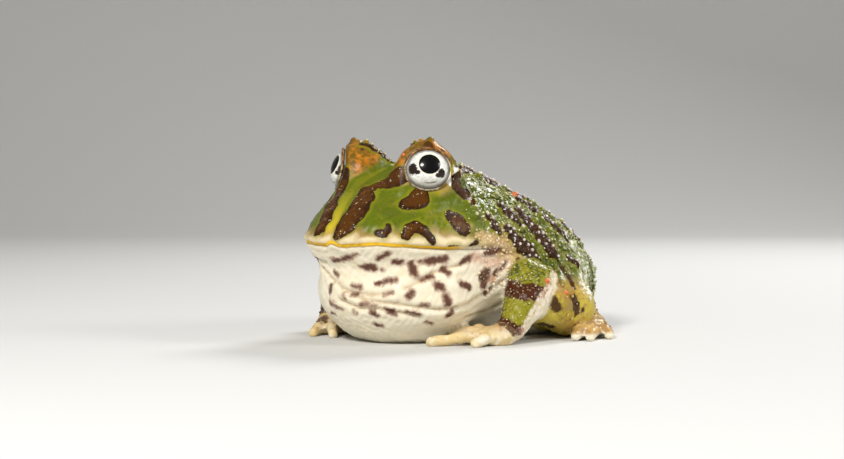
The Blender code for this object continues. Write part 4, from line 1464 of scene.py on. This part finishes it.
def pale_skin(f, colour):
    """Cream lips, throat and belly, the tan where they meet the green, and sandy and rusty places."""
    cream = f.mix(f.step(f.wide + f.fine, -0.15, 0.35) * 0.3, CREAM, CREAM_WARM)
    cream = f.mix(f.step(f.layer("mouth") + f.fine, 0.0, 0.5) * 0.6, cream, CREAM_WARM)
    cream = f.mix(f.step(f.layer("pink") + f.wide * 1.5, 0.8, -0.8) * 0.75, cream, PINK)
    # Tan along the throat's folds: partly their own colour, partly painted shade in the creases
    cream = f.mix(f.step(f.layer("fold") + f.fine * 0.5, 0.42, 0.05) * 0.5, cream, TAN)
    colour = f.mix(f.step(f.wide + f.fine * 1.2, 0.02, 0.18) * f.back * 0.35, colour, GREY_GREEN)
    tan_from = f.layer("pale") + f.wide * 2.0 + f.back * 2.2
    colour = f.mix(f.step(tan_from, -1.7, 0.1) * 0.65, colour, TAN)
    colour = f.mix(f.lip, colour, cream)
    sand = f.mix(f.step(f.noise(1.4) + f.fine, -0.1, 0.2), SAND, TAN)
    colour = f.mix(f.step(f.layer("sandy") + f.wide * 2.0 + f.fine, 0.9, -0.9) * 0.85, colour, sand)
    return f.mix(f.step(f.layer("rusty") + f.fine * 1.5, 0.4, -0.4) * 0.8, colour, RUST)


def hind_legs(f, colour):
    """Tan and olive legs low down, pale grains with a painted highlight over the hip, and the thigh's spots."""
    leg = f.mix(f.step(f.wide + f.fine, -0.05, 0.25), THIGH_GREEN, THIGH_TAN)
    leg = f.mix(f.step(f.broad + f.wide * 0.9 + f.fine * 0.7, -0.02, 0.2) * 0.5, leg, THIGH_DARK)
    leg = f.mix(f.step(f.high + f.wide * 4.0 + f.fine * 2.0, 6.0, 9.0) * 0.55, leg, THIGH_BROWN)
    leg = f.mix(f.step(f.layer("bars") + f.fine, 0.5, -0.4) * 0.7, leg, BROWN_RED)
    low = f.step(f.high + f.wide * 3.0 + f.fine * 2.0, 11.5, 8.5)
    colour = f.mix(f.layer("leg") * low, colour, leg)
    # Painted highlight over the rump and hip: pale green, with white specks on the grains
    rear_sheen_grains = f.step(f.layer("rear_sheen_grains") + f.wide * 3.5 + f.fine * 2.0, 1.3, -1.0)
    colour = f.mix(rear_sheen_grains * 0.5, colour, PALE_GREEN)
    colour = f.mix(rear_sheen_grains * f.step(f.cells(0.8) + f.wide * 0.4, 0.50, 0.34) * 0.9, colour, WHITE)
    return f.mix(f.step(f.layer("spots") + f.fine, 0.3, -0.15) * 0.95 * f.layer("leg"), colour, BROWN_RED)


def arm_skin(f, colour):
    """Green arms with brown bands, pink and then cream on the underside of the forearm."""
    arm = f.mix(f.step(f.fine + f.wide * 0.6, -0.05, 0.25), ARM_GREEN, GREEN_DEEP)
    arm = f.mix(f.step(f.layer("bands") + f.fine * 0.7, 0.2, -0.15), arm, ARM_BROWN)
    under = f.layer("under") + f.wide * 0.8 + f.fine * 0.8
    blush = f.mix(f.step(f.fine + f.wide * 0.5, -0.1, 0.05), PINK, CREAM)
    arm = f.mix(f.step(under, 0.7, 1.2) * 0.8, arm, blush)
    pale = f.mix(f.step(f.wide + f.fine, -0.1, 0.2) * 0.6, CREAM, CREAM_WARM)
    arm = f.mix(f.step(under, 1.6, 2.1) * 0.9, arm, pale)
    return f.mix(f.layer("arm"), colour, arm)


def feet_and_hands(f, colour):
    """Mottled feet with cream soles, cream hands with tan backs, and the brown of the wrists."""
    foot = f.mix(f.step(f.wide + f.fine, -0.25, 0.1), FOOT_BROWN, THIGH_TAN)
    foot = f.mix(f.step(f.noise(2.6) + f.fine * 0.6, 0.08, 0.2) * 0.75, foot, BROWN)
    foot = f.mix(f.step(f.high + f.wide * 1.5, 1.5, 0.7), foot, CREAM)
    colour = f.mix(f.step(f.layer("foot") + f.wide * 1.5 + f.fine, 0.35, 0.8), colour, foot)
    hand = f.mix(f.step(f.wide + f.fine * 0.5, -0.05, 0.2), CREAM_WARM, CREAM)
    hand = f.mix(f.step(f.high + f.fine * 2.0 + f.wide * 2.0, 1.6, 3.4) * 0.6, hand, TAN)
    hand = f.mix(f.step(f.noise(2.2) + f.fine * 0.5, 0.12, 0.26) * 0.5, hand, RUST)
    colour = f.mix(f.step(f.layer("hand") + f.wide * 0.6, 0.35, 0.8), colour, hand)
    return f.mix(f.step(f.layer("wrist") + f.fine, 0.3, -0.3) * f.layer("arm") * 0.9, colour, ARM_BROWN)


def brown_patches(f, colour):
    """Brown stripes, spots and ridges with dark edges in a thin yellow line, and the glints on them."""
    colour = f.mix(f.step(f.brown, 0.9, 0.1) * f.off_arm * 0.4, colour, GREEN_YELLOW)
    patch = f.mix(f.step(f.wide + f.fine, -0.1, 0.25), BROWN, BROWN_RED)
    patch = f.mix(f.step(f.noise(1.5) + f.fine * 0.7, 0.08, 0.25) * 0.35, patch, OCHRE)
    patch = f.mix(f.step(f.brown + f.wide * 1.8 + f.fine * 0.8, -0.95, -0.15) * 0.9, patch, BROWN_DARK)
    patch = f.mix(f.back * 0.6, patch, BROWN_DARK)
    colour = f.mix(f.step(f.brown, 0.12, -0.12) * f.off_arm, colour, patch)
    glints = f.step(f.noise(0.5, 1.0), 0.17, 0.24) * f.step(f.brown, 0.1, -0.2) * f.off_arm
    return f.mix(glints * (0.6 + f.rough * 0.2), colour, f.mix(f.rough, GRAIN_AND_GLINT_PALE, WHITE))


def lid_marks(f, colour):
    """Brown marks on the upper lid, and a painted highlight along its rear edge."""
    colour = f.mix(f.step(f.layer("lid") + f.fine * 0.5, 0.2, -0.25) * 0.85, colour, BROWN_RED)
    # Painted highlight: white, creamier higher up, along the lid's rear edge
    edge = f.mix(f.step(f.high, 29.5, 31.0), WHITE, CREAM_WARM)
    return f.mix(f.step(f.layer("edge") + f.fine * 0.2, 0.12, -0.08), colour, edge)


def throat_flecks(f, colour):
    """Brown flecks with soft pale edges."""
    fleck = f.layer("flecks") + f.fine * 0.8
    colour = f.mix(f.step(fleck, 0.55, -0.10) * f.lip * 0.75, colour, FLECK_PALE)
    return f.mix(f.step(fleck + f.wide * 0.6, 0.15, -0.35) * f.lip * 0.9, colour, FLECK)


def mouth_line(f, colour):
    """The gold edge of the upper lip, and the dark seam under it."""
    mouth = f.layer("mouth")
    line = f.step(mouth * mouth + f.fine * 0.08, 0.15, 0.04)
    colour = f.mix(line * f.step(f.y, -11.5, -16.5), colour, GOLD)
    seam = mouth + 0.28
    return f.mix(f.step(seam * seam, 0.02, 0.002) * f.step(f.y, -2.0, -8.0) * 0.5, colour, BROWN_RED)


def grains_and_tips(f, colour):
    """Pale grains on rough skin, whitened as painted glints in places, and the pale or orange tips of the warts."""
    # Painted glints: along these strokes the grains turn whiter and thicker
    pale = f.step(f.layer("grains") + f.wide * 2.0, 1.2, -0.8)
    specks = f.step(f.cells(0.62), 0.34, 0.20) * f.step(f.rough, 0.2, 0.8) * (pale * 0.6 + 0.25)
    colour = f.mix(specks * (1.0 - f.step(f.brown, 0.2, -0.2) * 0.7), colour, f.mix(pale, GRAIN_AND_GLINT_PALE, WHITE))
    tip = f.step(f.layer("tip") + f.fine * 0.5, 0.55, 0.95)
    # Pale tips of the warts; on the brown ridges of the back they also stand for painted glints
    tip_and_glint_colour = f.mix(f.back * f.step(f.brown, 0.6, -0.2), GRAIN_AND_GLINT_PALE, PALE_TIP_AND_GLINT)
    colour = f.mix(tip * (0.8 - f.noise(1.1) * 0.9), colour, tip_and_glint_colour)
    return f.mix(f.layer("hue") * f.step(f.layer("tip"), 0.05, 0.25), colour, WART_ORANGE)


def skin_finish():
    f = SkinFinish()
    colour = green_skin(f)
    for lay in (
        round_the_eyes, pale_skin, hind_legs, arm_skin, feet_and_hands,
        brown_patches, lid_marks, throat_flecks, mouth_line, grains_and_tips,
    ):
        colour = lay(f, colour)
    f.feed("Base Color", colour)
    f.feed("Roughness", f.step(f.fine + f.wide * 0.8, -0.3, 0.3) * 0.22 + 0.22)
    wet = f.step(f.wide + f.fine * 0.5, -0.2, 0.2) * (f.rough * 0.4 + 0.08)
    f.feed("Coat Weight", wet * (1.0 - f.step(f.brown, 0.3, -0.1) * 0.85))
    pebbles = f.cells(0.62) * (f.rough * 0.8 + 0.10) + f.cells(1.5) * f.rough * 0.4
    f.bump(pebbles + f.noise(0.22, 2.0) * 0.25, 0.6, 0.25)
    return f.material


def lid_finish():
    """Rims of the lids: painted shade below, a pale rear partly painted highlight, brown and ochre on top, a cream
    inner edge.
    """
    f = Finish("eyelid_rim", {"Specular IOR Level": 0.2, "Coat Roughness": 0.08, "Coat Weight": 0.15})
    fine = f.noise(0.6)
    spread = f.noise(1.6)
    top = f.layer("top")
    colour = f.mix(f.step(fine + spread, -0.1, 0.15), CREAM_WARM, OLIVE)
    # Pale rear of the rim, partly a painted highlight
    colour = f.mix(f.step(f.layer("rear") + fine * 0.3, 0.35, 0.75), colour, LID_PALE_SHEEN)
    # Painted shade: grey and olive under the rim
    low = f.mix(f.step(fine + spread, -0.1, 0.2), LID_SHADE_GREY, OLIVE)
    colour = f.mix(f.step(top + fine * 0.4, -0.35, -0.75), colour, low)
    upper = f.mix(f.step(spread + fine, -0.1, 0.2), BROWN, OCHRE)
    colour = f.mix(f.step(top + fine * 0.3, -0.05, 0.4), colour, upper)
    pale = f.step(f.layer("inner") + fine * 0.3, 0.02, -0.12) * f.step(top + spread, -0.7, -0.1)
    colour = f.mix(pale * f.step(top, 0.9, 0.3) * 0.7, colour, CREAM)
    f.feed("Base Color", colour)
    f.feed("Roughness", f.step(fine, -0.2, 0.2) * 0.2 + 0.35)
    f.bump(f.noise(0.3), 0.6, 0.15)
    return f.material


def from_oval(u, v, at, wide, high):
    """Distance from a place on the iris, 1 at the edge of an oval."""
    a = (u - at[0]) / wide
    b = (v - at[1]) / high
    return (a * a + b * b) ** 0.5


def eye_finish():
    """White iris, streaked and with painted shade low down, with its patches, a fine arc, a grey ring of painted shade
    at the lids, and the pupil.
    """
    f = Finish("wet_eye", {"Roughness": 0.3, "Specular IOR Level": 0.1, "Coat Weight": 0.35, "Coat Roughness": 0.015})
    u = f.layer("eye_u")
    v = f.layer("eye_v")
    fine = f.noise(0.5)
    streak = f.noise(0.2, 4.0, 0.7)
    pupil = from_oval(u, v, *PUPIL)
    opening = from_oval(f.layer("rim_u"), v, (0.0, LID_GAP_UP), *LID_GAP)
    colour = f.mix(f.step(streak + fine, -0.25, 0.25), IRIS_GREY, IRIS_WHITE)
    # Painted shade over the lower iris
    colour = f.mix(f.step(v + fine * 0.4, -1.0, -2.7) * 0.7, colour, IRIS_SHADE)
    colour = f.mix(f.step(pupil, 1.35, 1.12) * 0.5, colour, IRIS_CREAM)
    for patch in IRIS_PATCHES:
        colour = f.mix(f.step(from_oval(u, v, *patch) + streak * 0.9, 1.05, 0.75), colour, IRIS_BROWN)
    arc = from_oval(u, v, *IRIS_ARC) - 1.0
    reach = from_oval(u, v, *IRIS_ARC_REACH)
    colour = f.mix(f.step(arc * arc + streak * 0.006, 0.0025, 0.0004) * f.step(reach, 1.0, 0.3) * 0.8, colour, GREY)
    # Painted shade: a grey ring where the eyeball meets the lids
    colour = f.mix(f.step(opening + f.noise(1.5) * 0.12, 0.84, 0.98) * 0.75, colour, GREY)
    colour = f.mix(f.step(pupil + streak * 0.05, 1.03, 0.97), colour, PUPIL_BLACK)
    f.feed("Base Color", colour)
    f.bump(streak * f.step(pupil, 1.0, 1.2), 0.12, 0.05)
    return f.material


def make_floor():
    """Pale sweep: a floor that curves up behind the animal."""
    bm = bmesh.new()
    away = Vector((-TOWARDS[0], -TOWARDS[1], 0)).normalized()
    across = Vector(ACROSS)
    line = [(FLOOR_FRONT, 0.0), (FLOOR_BACK, 0.0)]
    for i in range(1, FLOOR_STEPS + 1):
        a = math.pi / 2 * i / FLOOR_STEPS
        line.append((FLOOR_BACK + FLOOR_BEND * math.sin(a), FLOOR_BEND - FLOOR_BEND * math.cos(a)))
    line.append((FLOOR_BACK + FLOOR_BEND, FLOOR_TOP))
    row = [bm.verts.new(away * d + Vector((0, 0, z)) - across * (FLOOR_WIDE / 2)) for d, z in line]
    edges = [bm.edges.new(pair) for pair in zip(row[:-1], row[1:])]
    swept = bmesh.ops.extrude_edge_only(bm, edges=edges)["geom"]
    moved = [g for g in swept if isinstance(g, bmesh.types.BMVert)]
    bmesh.ops.translate(bm, vec=across * FLOOR_WIDE, verts=moved)
    bmesh.ops.recalc_face_normals(bm, faces=bm.faces)
    floor = new_object("floor", bm)
    floor.data.shade_smooth()
    pale = Finish("pale_floor", {"Roughness": 0.8, "Base Color": (*FLOOR_PALE, 1.0), "Specular IOR Level": 0.2})
    floor.data.materials.append(pale.material)


def make_light(name, azimuth, elevation, distance, size, power, colour):
    a = math.radians(azimuth)
    e = math.radians(elevation)
    way = Vector((math.sin(a) * math.cos(e), -math.cos(a) * math.cos(e), math.sin(e)))
    lamp = bpy.data.lights.new(name, "AREA")
    lamp.shape = "DISK"
    lamp.size = size
    lamp.energy = power
    lamp.color = colour
    holder = bpy.data.objects.new(name, lamp)
    holder.location = way * distance + Vector((0, 0, LIGHT_AIM))
    holder.rotation_mode = "QUATERNION"
    holder.rotation_quaternion = (-way).to_track_quat("-Z", "Y")
    bpy.context.scene.collection.objects.link(holder)


def make_camera():
    lens = bpy.data.cameras.new("camera")
    lens.sensor_width = SENSOR
    lens.lens = SENSOR * VIEW_DISTANCE / (PHOTO_WIDE * PIXEL)
    lens.clip_start = 0.01
    holder = bpy.data.objects.new("camera", lens)
    holder.location = (Vector(LENS_PLACE) + Vector((0, SHIFT_Y, 0))) * MM
    holder.rotation_mode = "QUATERNION"
    holder.rotation_quaternion = Vector(-TOWARDS).to_track_quat("-Z", "Y")
    bpy.context.scene.collection.objects.link(holder)
    bpy.context.scene.camera = holder


def make_studio():
    make_floor()
    for name, settings in LIGHTS.items():
        make_light(name, *settings)
    world = bpy.data.worlds.new("studio")
    world.use_nodes = True
    background = world.node_tree.nodes["Background"]
    background.inputs["Color"].default_value = (*STUDIO_LIGHT, 1.0)
    background.inputs["Strength"].default_value = STUDIO_STRENGTH
    bpy.context.scene.world = world
    bpy.context.scene.view_settings.view_transform = "Standard"
    make_camera()


FLESH_NODES = ["head", "lower_jaw", "torso"] + [
    kind + word
    for kind in ("horn", "upper_arm", "forearm", "hand", "thigh", "shank", "foot")
    for word in ("_left", "_right")
]

skin, skin_points = make_skin()
warts, granules = make_warts(skin_points)
lids = make_lids()
eyes = {word: make_eye(side, word) for side, word in ((1, "left"), (-1, "right"))}
frog_skin = skin_finish()
for thing in (skin, warts, granules):
    thing.data.materials.append(frog_skin)
lids.data.materials.append(lid_finish())
wet_eye = eye_finish()
for eye in eyes.values():
    eye.data.materials.append(wet_eye)
for thing in (skin, warts, granules, lids, *eyes.values()):
    to_part(thing)
    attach(thing, "root")
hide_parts(*FLESH_NODES)
for word, eye in eyes.items():
    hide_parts("eye_" + word)
make_studio()
